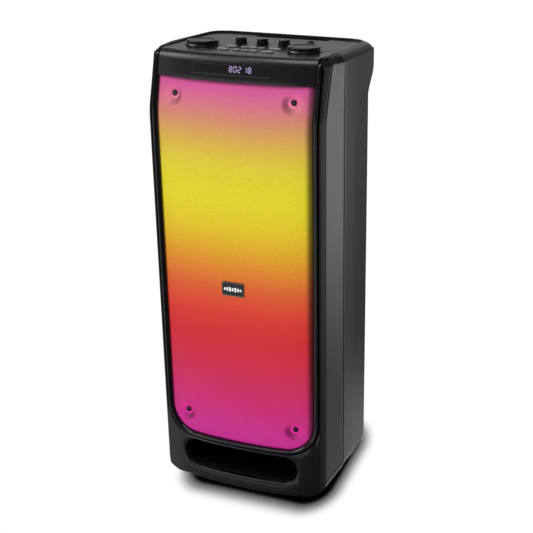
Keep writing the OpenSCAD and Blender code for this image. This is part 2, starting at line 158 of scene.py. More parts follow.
M_BOARD = mat("solder_mask", (0.02, 0.12, 0.05), 0.35, bump=0.1, grain=700, tone=0.2, blotch=120)
M_SINK = mat("sink_aluminium", (0.55, 0.56, 0.58), 0.35, metal=1.0, bump=0.05)
M_WIRE = mat("lead_wire", (0.35, 0.02, 0.02), 0.5, bump=0.05)
M_BADGE = mat("badge_plate", (0.016, 0.018, 0.021), 0.30, metal=0.3, bump=0.04, grain=700)
M_BADGE_EDGE = mat("badge_edge", (0.10, 0.10, 0.105), 0.3, metal=0.6)
# pale paint with a painted glow: a faint emission lifts the badge bars above what the lamps give
M_PALE_PAINTED_GLOW = mat("badge_paint_and_painted_glow", (0.72, 0.72, 0.76), 0.3, emit=(0.8, 0.8, 0.85), emit_k=0.25)
M_DIGIT = mat("display_light", (0.2, 0.18, 0.25), 0.4, emit=lin(190, 170, 226), emit_k=0.85)


def brushed(name, base, rough, amount=0.5):
    """Spun metal: rings of fine scratches about the piece's own turning axis, given by the radius in object space."""
    m = mat(name, base, rough, metal=0.85, bump=0.0, tone=0.05)
    nt = m.node_tree
    b = nt.nodes["Principled BSDF"]
    geo = nt.nodes.new("ShaderNodeAttribute")
    geo.attribute_name = "spin_r"
    wave = nt.nodes.new("ShaderNodeTexNoise")
    wave.noise_dimensions = "1D"
    wave.inputs["Scale"].default_value = 2.2
    wave.inputs["Detail"].default_value = 3
    nt.links.new(geo.outputs["Fac"], wave.inputs["W"])
    bp = nt.nodes.new("ShaderNodeBump")
    bp.inputs["Strength"].default_value = amount
    bp.inputs["Distance"].default_value = 0.0003
    nt.links.new(wave.outputs["Fac"], bp.inputs["Height"])
    nt.links.new(bp.outputs[0], b.inputs["Normal"])
    return m


M_SPUN = brushed("spun_top", (0.03, 0.03, 0.032), 0.28, 0.3)

# the lit grille: colour runs with height, the sheet is punched in a fine hexagonal pattern
GRAD = [(98, 0.571, 0.026, 0.279), (113, 0.571, 0.026, 0.279), (131, 0.600, 0.026, 0.261), (149, 0.605, 0.026, 0.222), (185, 0.619, 0.025, 0.161),
        (221, 0.632, 0.026, 0.110), (239, 0.632, 0.025, 0.084), (257, 0.639, 0.026, 0.069), (293, 0.655, 0.027, 0.044), (311, 0.660, 0.028, 0.035),
        (329, 0.682, 0.034, 0.032), (347, 0.706, 0.045, 0.032), (365, 0.739, 0.065, 0.032), (382, 0.740, 0.091, 0.032), (400, 0.724, 0.124, 0.028),
        (418, 0.758, 0.184, 0.028), (436, 0.774, 0.250, 0.025), (454, 0.762, 0.319, 0.021), (472, 0.770, 0.402, 0.020), (490, 0.775, 0.483, 0.019),
        (508, 0.781, 0.564, 0.019), (555, 0.788, 0.686, 0.021), (580, 0.775, 0.678, 0.022), (600, 0.763, 0.649, 0.028), (615, 0.767, 0.624, 0.037),
        (630, 0.749, 0.565, 0.048), (645, 0.731, 0.497, 0.062), (660, 0.715, 0.429, 0.083), (680, 0.691, 0.332, 0.125), (700, 0.666, 0.241, 0.174),
        (720, 0.670, 0.167, 0.247), (748, 0.633, 0.093, 0.303)]


def grille_mat():
    m = bpy.data.materials.new("lit_grille")
    m.use_nodes = True
    nt = m.node_tree
    L = nt.links.new
    b = nt.nodes["Principled BSDF"]
    tc = nt.nodes.new("ShaderNodeTexCoord")
    sep = nt.nodes.new("ShaderNodeSeparateXYZ")
    L(tc.outputs["Object"], sep.inputs[0])
    mr = nt.nodes.new("ShaderNodeMapRange")
    z0, z1 = 0.098, 0.756
    mr.inputs["From Min"].default_value = z0
    mr.inputs["From Max"].default_value = z1
    L(sep.outputs["Z"], mr.inputs["Value"])
    # slow unevenness of the light
    cloud = nt.nodes.new("ShaderNodeTexNoise")
    cloud.inputs["Scale"].default_value = 7
    cloud.inputs["Detail"].default_value = 2
    L(tc.outputs["Object"], cloud.inputs["Vector"])
    off = nt.nodes.new("ShaderNodeMath")
    off.operation = "MULTIPLY_ADD"
    off.inputs[1].default_value = 0.016
    L(cloud.outputs["Fac"], off.inputs[0])
    sub = nt.nodes.new("ShaderNodeMath")
    sub.operation = "SUBTRACT"
    sub.inputs[1].default_value = 0.008
    L(mr.outputs[0], sub.inputs[0])
    L(sub.outputs[0], off.inputs[2])
    cr = nt.nodes.new("ShaderNodeValToRGB")
    L(off.outputs[0], cr.inputs["Fac"])
    el = cr.color_ramp.elements
    for i, (z, r, g, bl) in enumerate(GRAD):
        p = (z * MM - z0) / (z1 - z0)
        e = el[i] if i < 2 else el.new(min(1, max(0, p)))
        e.position = min(1, max(0, p))
        e.color = [r, g, bl, 1]
    # punched holes: two interleaved square lattices make the hexagonal one
    px, pz = 2.1 * MM, 2.1 * MM * math.sqrt(3)

    def cell(ox, oz):
        outs = []
        for axis, p, o in (("X", px, ox), ("Z", pz, oz)):
            a = nt.nodes.new("ShaderNodeMath")
            a.operation = "MULTIPLY_ADD"
            a.inputs[1].default_value = 1 / p
            a.inputs[2].default_value = o + 500
            L(sep.outputs[axis], a.inputs[0])
            f = nt.nodes.new("ShaderNodeMath")
            f.operation = "FRACT"
            L(a.outputs[0], f.inputs[0])
            s = nt.nodes.new("ShaderNodeMath")
            s.operation = "SUBTRACT"
            s.inputs[1].default_value = 0.5
            L(f.outputs[0], s.inputs[0])
            q = nt.nodes.new("ShaderNodeMath")
            q.operation = "MULTIPLY"
            q.inputs[1].default_value = p / px
            L(s.outputs[0], q.inputs[0])
            outs.append(q)
        v = nt.nodes.new("ShaderNodeCombineXYZ")
        L(outs[0].outputs[0], v.inputs[0])
        L(outs[1].outputs[0], v.inputs[1])
        ln = nt.nodes.new("ShaderNodeVectorMath")
        ln.operation = "LENGTH"
        L(v.outputs[0], ln.inputs[0])
        return ln

    c1, c2 = cell(0, 0), cell(0.5, 0.5)
    mn = nt.nodes.new("ShaderNodeMath")
    mn.operation = "MINIMUM"
    L(c1.outputs["Value"], mn.inputs[0])
    L(c2.outputs["Value"], mn.inputs[1])
    hole = nt.nodes.new("ShaderNodeMapRange")
    hole.inputs["From Min"].default_value = 0.28
    hole.inputs["From Max"].default_value = 0.36
    L(mn.outputs[0], hole.inputs["Value"])  # 0 in a hole, 1 on the metal
    # painted shade: the glow is a little darker along both side edges
    ax = nt.nodes.new("ShaderNodeMath")
    ax.operation = "ABSOLUTE"
    L(sep.outputs["X"], ax.inputs[0])
    edge = nt.nodes.new("ShaderNodeMapRange")
    edge.interpolation_type = "SMOOTHSTEP"
    edge.inputs["From Min"].default_value = 0.095
    edge.inputs["From Max"].default_value = 0.137
    edge.inputs["To Min"].default_value = 1.0
    edge.inputs["To Max"].default_value = 0.93
    L(ax.outputs[0], edge.inputs["Value"])
    hk = nt.nodes.new("ShaderNodeMapRange")
    hk.inputs["To Min"].default_value = 1.13
    hk.inputs["To Max"].default_value = 0.87
    L(hole.outputs[0], hk.inputs["Value"])
    k = nt.nodes.new("ShaderNodeMath")
    k.operation = "MULTIPLY"
    L(edge.outputs[0], k.inputs[0])
    L(hk.outputs[0], k.inputs[1])
    # woven look: fine upright streaks and a little unevenness from hole to hole
    mp = nt.nodes.new("ShaderNodeMapping")
    mp.inputs["Scale"].default_value = (640, 1, 200)
    L(tc.outputs["Object"], mp.inputs["Vector"])
    st = nt.nodes.new("ShaderNodeTexNoise")
    st.inputs["Scale"].default_value = 1.0
    st.inputs["Detail"].default_value = 2
    L(mp.outputs[0], st.inputs["Vector"])
    sk = nt.nodes.new("ShaderNodeMapRange")
    sk.inputs["From Min"].default_value = 0.3
    sk.inputs["From Max"].default_value = 0.7
    sk.inputs["To Min"].default_value = 0.92
    sk.inputs["To Max"].default_value = 1.08
    L(st.outputs["Fac"], sk.inputs["Value"])
    k2 = nt.nodes.new("ShaderNodeMath")
    k2.operation = "MULTIPLY"
    L(k.outputs[0], k2.inputs[0])
    L(sk.outputs[0], k2.inputs[1])
    # painted shade and painted highlight, read from a point attribute: darker in the dimples and at the rolled edges,
    # lighter on the far side of each dimple and round each screw hole
    at = nt.nodes.new("ShaderNodeAttribute")
    at.attribute_name = "lit"
    k3 = nt.nodes.new("ShaderNodeMath")
    k3.operation = "MULTIPLY"
    L(k2.outputs[0], k3.inputs[0])
    L(at.outputs["Fac"], k3.inputs[1])
    k = k3
    e = nt.nodes.new("ShaderNodeMath")
    e.operation = "MULTIPLY"
    e.inputs[1].default_value = GLOW
    L(k.outputs[0], e.inputs[0])
    L(cr.outputs[0], b.inputs["Emission Color"])
    L(e.outputs[0], b.inputs["Emission Strength"])
    dk = nt.nodes.new("ShaderNodeMixRGB")
    dk.blend_type = "MULTIPLY"
    dk.inputs[0].default_value = 1
    L(cr.outputs[0], dk.inputs[1])
    gk = nt.nodes.new("ShaderNodeMapRange")
    gk.inputs["To Min"].default_value = 0.10
    gk.inputs["To Max"].default_value = 0.22
    L(hole.outputs[0], gk.inputs["Value"])
    L(gk.outputs[0], dk.inputs[2])
    L(dk.outputs[0], b.inputs["Base Color"])
    b.inputs["Roughness"].default_value = 0.55
    b.inputs["Specular IOR Level"].default_value = 0.25
    bp = nt.nodes.new("ShaderNodeBump")
    bp.inputs["Strength"].default_value = 0.35
    bp.inputs["Distance"].default_value = 0.0006
    L(hole.outputs[0], bp.inputs["Height"])
    L(bp.outputs[0], b.inputs["Normal"])
    return m


GLOW = 0.80
M_GRILLE = grille_mat()


# ------------------------------------------------------------------ mesh helpers
def obj_from(name, verts, faces, material, smooth=True, scale=MM):
    me = bpy.data.meshes.new(name)
    me.from_pydata([tuple(v) for v in (np.asarray(verts, float) * scale)], [], [tuple(int(i) for i in f) for f in faces])
    me.validate()
    me.update()
    o = bpy.data.objects.new(name, me)
    bpy.context.scene.collection.objects.link(o)
    if material is not None:
        me.materials.append(material)
    me.polygons.foreach_set("use_smooth", [smooth] * len(me.polygons))
    return o


def weld(o, dist=0.00002):
    bm = bmesh.new()
    bm.from_mesh(o.data)
    bmesh.ops.remove_doubles(bm, verts=bm.verts, dist=dist)
    bmesh.ops.dissolve_degenerate(bm, edges=bm.edges, dist=dist)
    bm.to_mesh(o.data)
    bm.free()
    return o


def outward(o):
    bm = bmesh.new()
    bm.from_mesh(o.data)
    bmesh.ops.recalc_face_normals(bm, faces=bm.faces)
    bm.to_mesh(o.data)
    bm.free()
    return o


def bake(o):
    """Applies the object's modifiers to its mesh."""
    dg = bpy.context.evaluated_depsgraph_get()
    dg.update()
    me = bpy.data.meshes.new_from_object(o.evaluated_get(dg), preserve_all_data_layers=True, depsgraph=dg)
    old = o.data
    o.modifiers.clear()
    o.data = me
    bpy.data.meshes.remove(old)
    return o


def solidify(o, t):
    """Gives an open skin a wall t mm thick on its inner side; the mitre at corners is limited so nothing spikes."""
    me = o.data
    nv = len(me.vertices)
    co = np.zeros(nv * 3)
    me.vertices.foreach_get("co", co)
    co = co.reshape(-1, 3)
    polys = [tuple(p.vertices) for p in me.polygons]
    nrm = np.zeros((nv, 3))
    fn = []
    for p in polys:
        c = co[list(p)]
        n = np.zeros(3)
        for i in range(len(p)):
            n += np.cross(c[i], c[(i + 1) % len(p)])
        ln = np.linalg.norm(n)
        n = n / ln if ln > 1e-14 else np.zeros(3)
        fn.append(n)
        for i in range(len(p)):
            a, b = c[i - 1] - c[i], c[(i + 1) % len(p)] - c[i]
            la, lb = np.linalg.norm(a), np.linalg.norm(b)
            if la > 1e-9 and lb > 1e-9:
                nrm[p[i]] += n * math.acos(max(-1, min(1, a.dot(b) / la / lb)))
    nrm /= np.maximum(np.linalg.norm(nrm, axis=1), 1e-12)[:, None]
    dots = np.ones(nv)
    for p, n in zip(polys, fn):
        for i in p:
            dots[i] = min(dots[i], nrm[i].dot(n))
    k = 1 / np.clip(dots, 0.7, 1)
    inner = co - nrm * (t * MM) * k[:, None]
    count = {}
    for p in polys:
        for i in range(len(p)):
            a, b = p[i], p[(i + 1) % len(p)]
            count[(a, b)] = count.get((a, b), 0) + 1
    faces = [p for p in polys] + [tuple(v + nv for v in p[::-1]) for p in polys]
    for (a, b) in count:
        if (b, a) not in count:
            faces.append((b, a, a + nv, b + nv))
    mats = list(me.materials)
    new = bpy.data.meshes.new(me.name + "_w")
    new.from_pydata([tuple(v) for v in np.vstack([co, inner])], [], faces)
    new.validate()
    for m in mats:
        new.materials.append(m)
    new.update()
    new.polygons.foreach_set("use_smooth", [True] * len(new.polygons))
    o.data = new
    bpy.data.meshes.remove(me)
    return o


def bevel(o, w, seg=2, angle=32):
    m = o.modifiers.new("edge", "BEVEL")
    m.width = w * MM
    m.segments = seg
    m.limit_method = "ANGLE"
    m.angle_limit = math.radians(angle)
    m.use_clamp_overlap = True
    m.harden_normals = False
    return bake(o)


def sharp(o, angle=40):
    o.data.polygons.foreach_set("use_smooth", [True] * len(o.data.polygons))
    o.data.set_sharp_from_angle(angle=math.radians(angle))
    o.data.update()
    return o


def boolean(a, b, op="DIFFERENCE", keep=False):
    m = a.modifiers.new("cut", "BOOLEAN")
    m.operation = op
    m.object = b
    try:
        m.solver = "MANIFOLD"
    except TypeError:
        m.solver = "EXACT"
    bake(a)
    if not keep:
        me = b.data
        bpy.data.objects.remove(b)
        bpy.data.meshes.remove(me)
    return a


def grid_faces(idx, wrap_cols=False):
    """Quads over a 2-D array of vertex indices."""
    idx = np.asarray(idx)
    if wrap_cols:
        idx = np.concatenate([idx, idx[:, :1]], 1)
    a, b, c, d = idx[:-1, :-1], idx[:-1, 1:], idx[1:, 1:], idx[1:, :-1]
    f = np.stack([a, b, c, d], -1).reshape(-1, 4)
    return f


def finish_piece(o, body, slot, *nodes):
    if "skin" in o.name:
        for v in o.data.vertices:
            v.co.x = min(0.16248, max(-0.16248, v.co.x))
    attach(o, body)
    if nodes:
        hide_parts(*nodes)
    return o


def prism(name, poly, z0, z1, material=None):
    """Upright prism of a 2-D outline, in mm."""
    n = len(poly)
    v = [(x, y, z0) for x, y in poly] + [(x, y, z1) for x, y in poly]
    f = [tuple(range(n))[::-1], tuple(range(n, 2 * n))] + [(i, (i + 1) % n, n + (i + 1) % n, n + i) for i in range(n)]
    o = obj_from(name, v, f, material, smooth=False)
    return outward(o)


def lathe(name, prof, material, seg=96, closed=True):
    """Solid of revolution about Z from (r, z) points."""
    rows = []
    verts = []
    for r, z in prof:
        if r < 1e-6:
            rows.append([len(verts)] * seg)
            verts.append((0, 0, z))
        else:
            rows.append(list(range(len(verts), len(verts) + seg)))
            for i in range(seg):
                t = 2 * math.pi * i / seg
                verts.append((r * math.cos(t), r * math.sin(t), z))
    faces = []
    k = len(rows)
    for j in range(k if closed else k - 1):
        a, b = rows[j], rows[(j + 1) % k]
        if closed and j == k - 1 and len(set(a)) == 1 and len(set(b)) == 1:
            continue
        for i in range(seg):
            q = [a[i], a[(i + 1) % seg], b[(i + 1) % seg], b[i]]
            u = []
            for v in q:
                if v not in u:
                    u.append(v)
            if len(u) >= 3:
                faces.append(u)
    o = obj_from(name, verts, faces, material)
    return outward(o)


def spin_attr(o, centre=(0, 0)):
    me = o.data
    a = me.attributes.new("spin_r", "FLOAT", "POINT")
    co = np.zeros(len(me.vertices) * 3, np.float32)
    me.vertices.foreach_get("co", co)
    co = co.reshape(-1, 3)
    a.data.foreach_set("value", np.hypot(co[:, 0] - centre[0] * MM, co[:, 1] - centre[1] * MM).astype(np.float32) * 1000)


def arc(cx, cz, r, a0, a1, n):
    return [(cx + r * math.cos(math.radians(a)), cz + r * math.sin(math.radians(a))) for a in np.linspace(a0, a1, n)]


def deck_matrix(x, y, lvl=DECK, up=0.0):
    return Matrix.Translation(Vector((x, y, lvl - SLOPE * (y + 130))) * MM) @ Matrix.Rotation(-TILT, 4, "X") @ Matrix.Translation((0, 0, up * MM))


def put(o, mtx):
    o.data.transform(mtx)
    o.data.update()
    return o


# ------------------------------------------------------------------ plan of the cabinet, right half
STRIP = catmull([(142, -135.0), (146.5, -133.4), (150, -129), (153, -124), (155.2, -119)], [5, 6, 6, 6])
XE = 146.2


def plan_front(x):
    """y of the plan at a given half width up to the front corner."""
    x = np.abs(np.asarray(x, float))
    return np.where(x <= 142, -155 + eb(x), np.interp(x, STRIP[:, 0], STRIP[:, 1]))


strip_pts = [p for p in STRIP if p[0] > XE + 0.4]
facet = catmull([(155.2, -119), (159, -82), (162.5, PART_Y)], [8, 8])
# a small radius on the crisp line where the side facet starts
d0 = np.array(strip_pts[-1]) - np.array(strip_pts[-2])
d0 = d0 / np.linalg.norm(d0)
d1 = facet[1] - facet[0]
d1 = d1 / np.linalg.norm(d1)
c0 = facet[0]
round_pts = [c0 - d0 * 1.6, c0 - d0 * 0.7 + d1 * 0.05, c0 + (d1 - d0) * 0.1, c0 + d1 * 0.7 - d0 * 0.05, c0 + d1 * 1.6]
CHEEK = np.array([(XE, float(plan_front(XE)))] + [tuple(p) for p in strip_pts[:-1]] + [tuple(p) for p in round_pts] + [tuple(p) for p in facet[1:]])
REAR = catmull([(162.5, PART_Y), (162.3, -20), (162, 10), (161, 45), (160.2, 70), (159.2, 90.6), (154.6, 104), (146.4, 113.8), (135.3, 120.3), (123.9, 122.5), (90, 123.1), (60, 123.4), (0, 124)],
               [4, 4, 4, 4, 4, 5, 5, 5, 5, 5, 5, 8])

SHOULDER = np.array([(0, 787.6), (0.12, 788.0), (0.5, 788.5), (4.4, 793.1), (6.8, 795.6), (9.4, 797.6), (12.2, 799.1), (14.6, 800.2), (15.6, 800.75), (16.5, 800.9), (17.1, 800.7), (17.6, 800.2)])


def shoulder(o):
    return np.interp(o, SHOULDER[:, 0], SHOULDER[:, 1])


Z_LOW = [8.0, 8.8, 9.8, 11.0, 12.5, 15.0]
O_LOW = [3.0, 1.9, 0.9, 0.3, 0.05, 0.0]
LZ, LA, LB, LX = 30.0, 33.0, 22.0, 122.2  # the lower corners are round in the front view


def low_o(z):
    return np.interp(z, Z_LOW, O_LOW)


def low_g(z, a=LA):
    """Inward shift of the lower edge at height z; a is its full width."""
    return a * (1 - math.sqrt(max(0.0, 1 - ((LZ - z) / LB) ** 2))) if z < LZ else 0.0


def low_a(y):
    """The rounding of the lower edge fades out towards the back."""
    return float(np.interp(y, [PART_Y, -25, 0, 20, 40], [26, 22, 9, 2, 0]))


def low_z(x):
    ax = abs(x) - LX
    return LZ - LB if ax <= 0 else LZ - LB * math.sqrt(max(0.0, 1 - (ax / LA) ** 2))


def groove(q):
    """How far the shell rolls back beside the ring, at distance q from it."""
    return np.interp(q, [-1, 0, 0.5, 1.0, 1.9, 2.5, 3.2], [4.4, 4.4, 3.1, 1.9, 0.6, 0.14, 0.0])


PORT_Z, PHW, PHH = 58.0, 108.5, 27.0
LIP = 5.5


def port_h(x):
    """Half height of the slot at x, below zero outside it."""
    c = PHW - PHH
    ax = np.abs(x)
    return np.where(ax <= c, PHH, np.sqrt(np.maximum(0, PHH**2 - (ax - c) ** 2)))


def port_dist(x, z):
    c = PHW - PHH
    return np.hypot(np.maximum(np.abs(x) - c, 0), z - PORT_Z) - PHH


def ring_low(x):
    """Lower edge of the ring, z, at x: outer outline."""
    ax = np.abs(x)
    r, c = 56.2, XE - 56.2
    return np.where(ax <= c, 91.8, 91.8 + r - np.sqrt(np.maximum(0, r * r - (ax - c) ** 2)))


# front shell: a lower block under the ring, with the slot, and two cheeks
nlo, nup = 16, 20
th = np.linspace(0, 1, 12)
cx = sorted(set(np.round(np.concatenate([
    np.linspace(0, 78, 14), 81.5 + 27 * np.sin(np.linspace(0, math.pi / 2, 17)), 108.5 + LIP * (1 - np.cos(np.linspace(0.25, math.pi / 2, 7))),
    np.linspace(115.5, 122.2, 4), [124, 126.2, 128.6, 131.2, 134, 136.5, 138.8, 140.8, 142.4, 143.6, 144.6, 145.3, 145.8, XE]]), 4)))
cx = np.array([-v for v in cx[::-1] if v > 0] + list(cx))
fr_lo = np.array([0, 0.03, 0.07, 0.13, 0.2, 0.3, 0.4, 0.52, 0.64, 0.76, 0.84, 0.9, 0.94, 0.97, 0.99, 1.0])
assert len(fr_lo) == nlo


def ring_dist(x, z):
    """Distance outside the ring's outer outline."""
    r, hw, zb = 56.2, XE, 91.8
    dx, dz = abs(x) - (hw - r), (zb + r) - z
    if dx > 0 and dz > 0:
        return math.hypot(dx, dz) - r
    return max(dx, dz) - r


def lower_rows(x, h):
    """z rows of one column: from the base to the slot, then from the slot to the ring."""
    top = float(ring_low(x))
    a, b = PORT_Z - h, PORT_Z + h
    lip = [0, 0.08, 0.25, 0.6, 1.2, 2.1, 3.2, 4.4, 5.6]
    lo_far = a - lip[-1]
    low = [8.0, 8.4, 9.0, 9.8, 11.0, 12.5, 15.0] + [15 + (lo_far - 15) * t for t in (0.35, 0.7)] + [a - q for q in lip[::-1]]
    zb = low_z(x)
    low = [zb + (z - 8) * (40 - zb) / 32 if z < 40 else z for z in low]
    dm = max(0.5, top - b - 6.2)
    m0 = b + 3.0
    up = [b + q for q in (0, 0.08, 0.25, 0.6, 1.2, 2.1, 3.0)] + [m0 + dm * t for t in (min(1.4 / dm, 0.2), min(2.6 / dm, 0.4), 0.55, 0.78)] + [top - q for q in (3.2, 2.5, 1.9, 1.0, 0.5, 0.0)]
    return low, up


verts, low_idx, up_idx = [], [], []
for x in cx:
    h = float(port_h(x)) if abs(x) < PHW else 0.0
    low, up = lower_rows(x, h)
    y0 = float(plan_front(x))
    li, ui = [], []
    for rows, dst in ((low, li), (up, ui)):
        for z in rows:
            o = float(low_o(8 + z - low_z(x))) * (1 - float(sm((abs(x) - 100) / 22.2)))
            p = place(x, y0, z, o)
            q = float(port_dist(p[0], z))
            dep = 0.0
            if q < LIP:
                t = 1 - max(q, 0) / LIP
                dep = LIP * 0.95 * (1 - math.sqrt(max(0, 1 - t * t)))
            dep = max(dep, float(groove(ring_dist(x, z))))
            verts.append((p[0], p[1] + dep, p[2]))
            dst.append(len(verts) - 1)
    low_idx.append(li)
    up_idx.append(ui)
faces = [tuple(f) for f in grid_faces(np.array(low_idx).T)] + [tuple(f) for f in grid_faces(np.array(up_idx).T)]
z_ring = [v for v in lower_rows(XE, 0.0)[0]] + [v for v in lower_rows(XE, 0.0)[1]][1:]
z_up = list(np.linspace(float(ring_low(XE)), 655, 34)[1:]) + list(np.arange(662, 738, 5.0)) + [742, 750, 760, 770, 778, 784, 787.6]
Z_CHEEK = z_ring + z_up
zb_xe = low_z(XE)
low_cols = {}
for x, li in zip(cx, low_idx):
    if abs(x) >= 122.1:
        low_cols.setdefault(1 if x > 0 else -1, []).append((abs(x), li[0]))


def cheek(side):
    cols = []
    n_strip = next(i for i, p in enumerate(CHEEK) if p[0] >= 155.1)
    for i, (x0, y0) in enumerate(CHEEK):
        col = []
        omax = min(17.6, max(0.02, 162.5 * (1 - 145.9 / x0)))
        zb = low_z(min(x0, 155.2)) if i <= n_strip else LZ
        w = min(1.0, (x0 - XE) / (155.2 - XE)) if i <= n_strip else (PART_Y - y0) / (PART_Y + 119)
        oc = float(np.interp(y0, [-46.6, -45.9, PART_Y], [0, 0.25, 0.8]))  # eased edge at the parting line
        zz = [(z if z >= 40 else zb + (z - zb_xe) * (40 - zb) / (40 - zb_xe), oc) for z in Z_CHEEK]
        ss = omax * np.array([0.03, 0.08, 0.16, 0.28, 0.4, 0.54, 0.68, 0.8, 0.9, 0.96, 1.0])
        if omax > 17.0:
            ss = SHOULDER[1:, 0]
        zz += [(float(shoulder(o)), max(o, oc)) for o in ss]
        if omax > 17.0:
            zz += [(799.0, 17.9), (796.0, 18.2), (790, 18.3)]
        else:
            zz += [(float(shoulder(omax)), omax)] * 3
        for z, o in zz:
            p = place(x0, y0, z, o)
            e = 0.09 * float(ramp(z)) * w
            fade = max(0.0, min(1.0, (786 - z) / 10))
            verts.append((side * (p[0] + 0.1 * e), p[1] + e + float(groove(ring_dist(x0, z))) * fade, p[2]))
            col.append(len(verts) - 1)
        cols.append(col)
    while len(set(len(c) for c in cols)) > 1:
        m = max(len(c) for c in cols)
        for c in cols:
            while len(c) < m:
                c.append(c[-1])
    idx = np.array(cols).T
    for f in grid_faces(idx):
        f = list(dict.fromkeys(int(v) for v in f))
        if len(f) > 2:
            faces.append(tuple(f) if side > 0 else tuple(f[::-1]))
    # under the round corner: the side facet wraps below the front panel
    curve = [(CHEEK[i][0], cols[i][0]) for i in range(n_strip, -1, -1)] + sorted([c for c in low_cols[side] if c[0] < XE - 0.01], key=lambda c: -c[0])
    fac = [p for p in CHEEK[n_strip + 1:]]
    rows = []
    for k, (xc, vi) in enumerate(curve):
        z = low_z(min(xc, 155.2)) if k else LZ
        yc_ = verts[vi][1]
        row = [vi]
        for x0, y0 in fac:
            t = (y0 + 119) / (PART_Y + 119)
            oc = float(np.interp(y0, [-46.6, -45.9, PART_Y], [0, 0.25, 0.8]))
            if k == 0:
                row.append(cols[n_strip + 1 + [tuple(q) for q in fac].index((x0, y0))][0])
                continue
            g = low_g(z, LA + (26 - LA) * t)
            verts.append((side * (x0 - g - oc * 0.7), yc_ + t * (PART_Y - yc_), z + oc * 0.5))
            row.append(len(verts) - 1)
        rows.append(row)
    for f in grid_faces(np.array(rows)):
        f = list(dict.fromkeys(int(v) for v in f))
        if len(f) > 2:
            faces.append(tuple(f) if side < 0 else tuple(f[::-1]))


cheek(1)
cheek(-1)
front = obj_from("front_shell_skin", verts, faces, M_SHELL)
weld(front, 0.00003)
outward(front)


def face_out(o, probe, want):
    """Flips the skin if the face nearest to a probe point looks the wrong way."""
    me = o.data
    best = min(me.polygons, key=lambda p: (p.center - Vector(probe)).length)
    if best.normal.dot(Vector(want)) < 0:
        me.flip_normals()
    return o


face_out(front, (0.1555, -0.1, 0.4), (1, 0, 0))
solidify(front, 3.0)
sharp(front, 50)
finish_piece(front, "cabinet", "shell_plastic", "front_shell")

# rear shell
full = [tuple(p) for p in REAR] + [(-x, y) for x, y in REAR[::-1][1:]]
# a line of vertices at the input panel's opening
zr = [8.0, 8.15, 8.6, 9.4, 10.6, 12.2, 14.5, 17.5, 21, 25, 30, 36] + list(np.linspace(46, 112, 6)) + list(np.linspace(125, 302, 13)) + list(np.linspace(320, 600, 18)) + list(np.arange(612, 700, 9)) + list(np.arange(700, 764, 4)) + [766, 770, 776, 782, 787.6]
xs_full = np.array(full)
verts, cols = [], []
seq = []
for x, y in full:
    seq.append((x, y))
# replace the straight rear span's points so that x = +-80 are columns
seq = [p for p in seq if not (p[1] > 122.9 and abs(p[0]) < 112)]
k = next(i for i, p in enumerate(seq) if p[0] < 0 and p[1] > 100)
span = [104, 97, 90, 85, 80, 70, 60, 48, 36, 24, 12, 0, -12, -24, -36, -48, -60, -70, -80, -85, -90, -97, -104]
yspan = lambda x: float(np.interp(abs(x), [0, 60, 90, 112], [124, 123.5, 123.1, 122.75]))
seq = seq[:k] + [(x, yspan(x)) for x in span] + seq[k:]
seq = [(162.5, PART_Y + 0.1), (162.5, PART_Y + 0.5), (162.48, PART_Y + 1.3)] + seq[1:-1] + [(-162.48, PART_Y + 1.3), (-162.5, PART_Y + 0.5), (-162.5, PART_Y + 0.1)]
for x0, y0 in seq:
    col = []
    t = low_a(y0) / 26 if y0 < 40 else 0.0
    oc = float(np.interp(y0, [PART_Y, -45.2, -44.4], [0.8, 0.25, 0])) if y0 < -40 else 0.0
    zz = [(z, float(low_o(z)) * (1 - t) + oc) for z in zr] + [(float(shoulder(o)), max(o, oc)) for o in SHOULDER[1:, 0]]
    zz += [(799.0, 17.9), (796.0, 18.2), (790, 18.3)]
    for z, o in zz:
        p = place(x0, y0, z, o)
        p[0] -= math.copysign(low_g(z, 26.0) * t, x0)
        verts.append(tuple(p))
        col.append(len(verts) - 1)
    cols.append(col)
idx = np.array(cols).T
faces = []
zz_all = np.array([z for z in zr])
for r in range(idx.shape[0] - 1):
    for c in range(idx.shape[1] - 1):
        xa, xb = verts[idx[r, c]][0], verts[idx[r, c + 1]][0]
        ya = verts[idx[r, c]][1]
        if r < len(zr) - 1 and zr[r] >= 111.9 and zr[r + 1] <= 302.1 and ya > 100 and abs(xa) <= 80.5 and abs(xb) <= 80.5:
            continue
        faces.append((idx[r, c], idx[r, c + 1], idx[r + 1, c + 1], idx[r + 1, c]))
rear = obj_from("rear_shell_skin", verts, faces, M_REAR)
weld(rear, 0.00003)
outward(rear)
face_out(rear, (0.1625, 0.0, 0.4), (1, 0, 0))
solidify(rear, 3.0)
sharp(rear, 50)
finish_piece(rear, "cabinet", "rear_plastic", "rear_shell")

# base plates of the two shells
def base_plate(name, pts, material, slot):
    o = prism(name, pts, 8.25, 11.0, material)
    bevel(o, 0.5, 2, 40)
    sharp(o)
    finish_piece(o, "cabinet", slot)
    return o


fp = [(-135.6, PART_Y - 0.4)] + [(x * 0.985, float(plan_front(x)) + 3.2) for x in np.linspace(-122, 122, 40)] + [(135.6, PART_Y - 0.4)]
base_plate("front_base_plate", fp, M_SHELL, "shell_plastic")
rp = []
for x, y in seq:
    t = low_a(y) if y < 40 else 0.0
    rp.append((x * (1 - 3.4 / 162.5 * min(1.0, 1 - t / 26)) - math.copysign(t + 0.8, x), YC + (y - YC) * (1 - 3.4 / 140) if y > 60 else max(y, PART_Y + 0.4)))
rp = [rp[i] for i in range(len(rp)) if i == 0 or math.dist(rp[i], rp[i - 1]) > 0.5]
base_plate("rear_base_plate", rp, M_REAR, "rear_plastic")

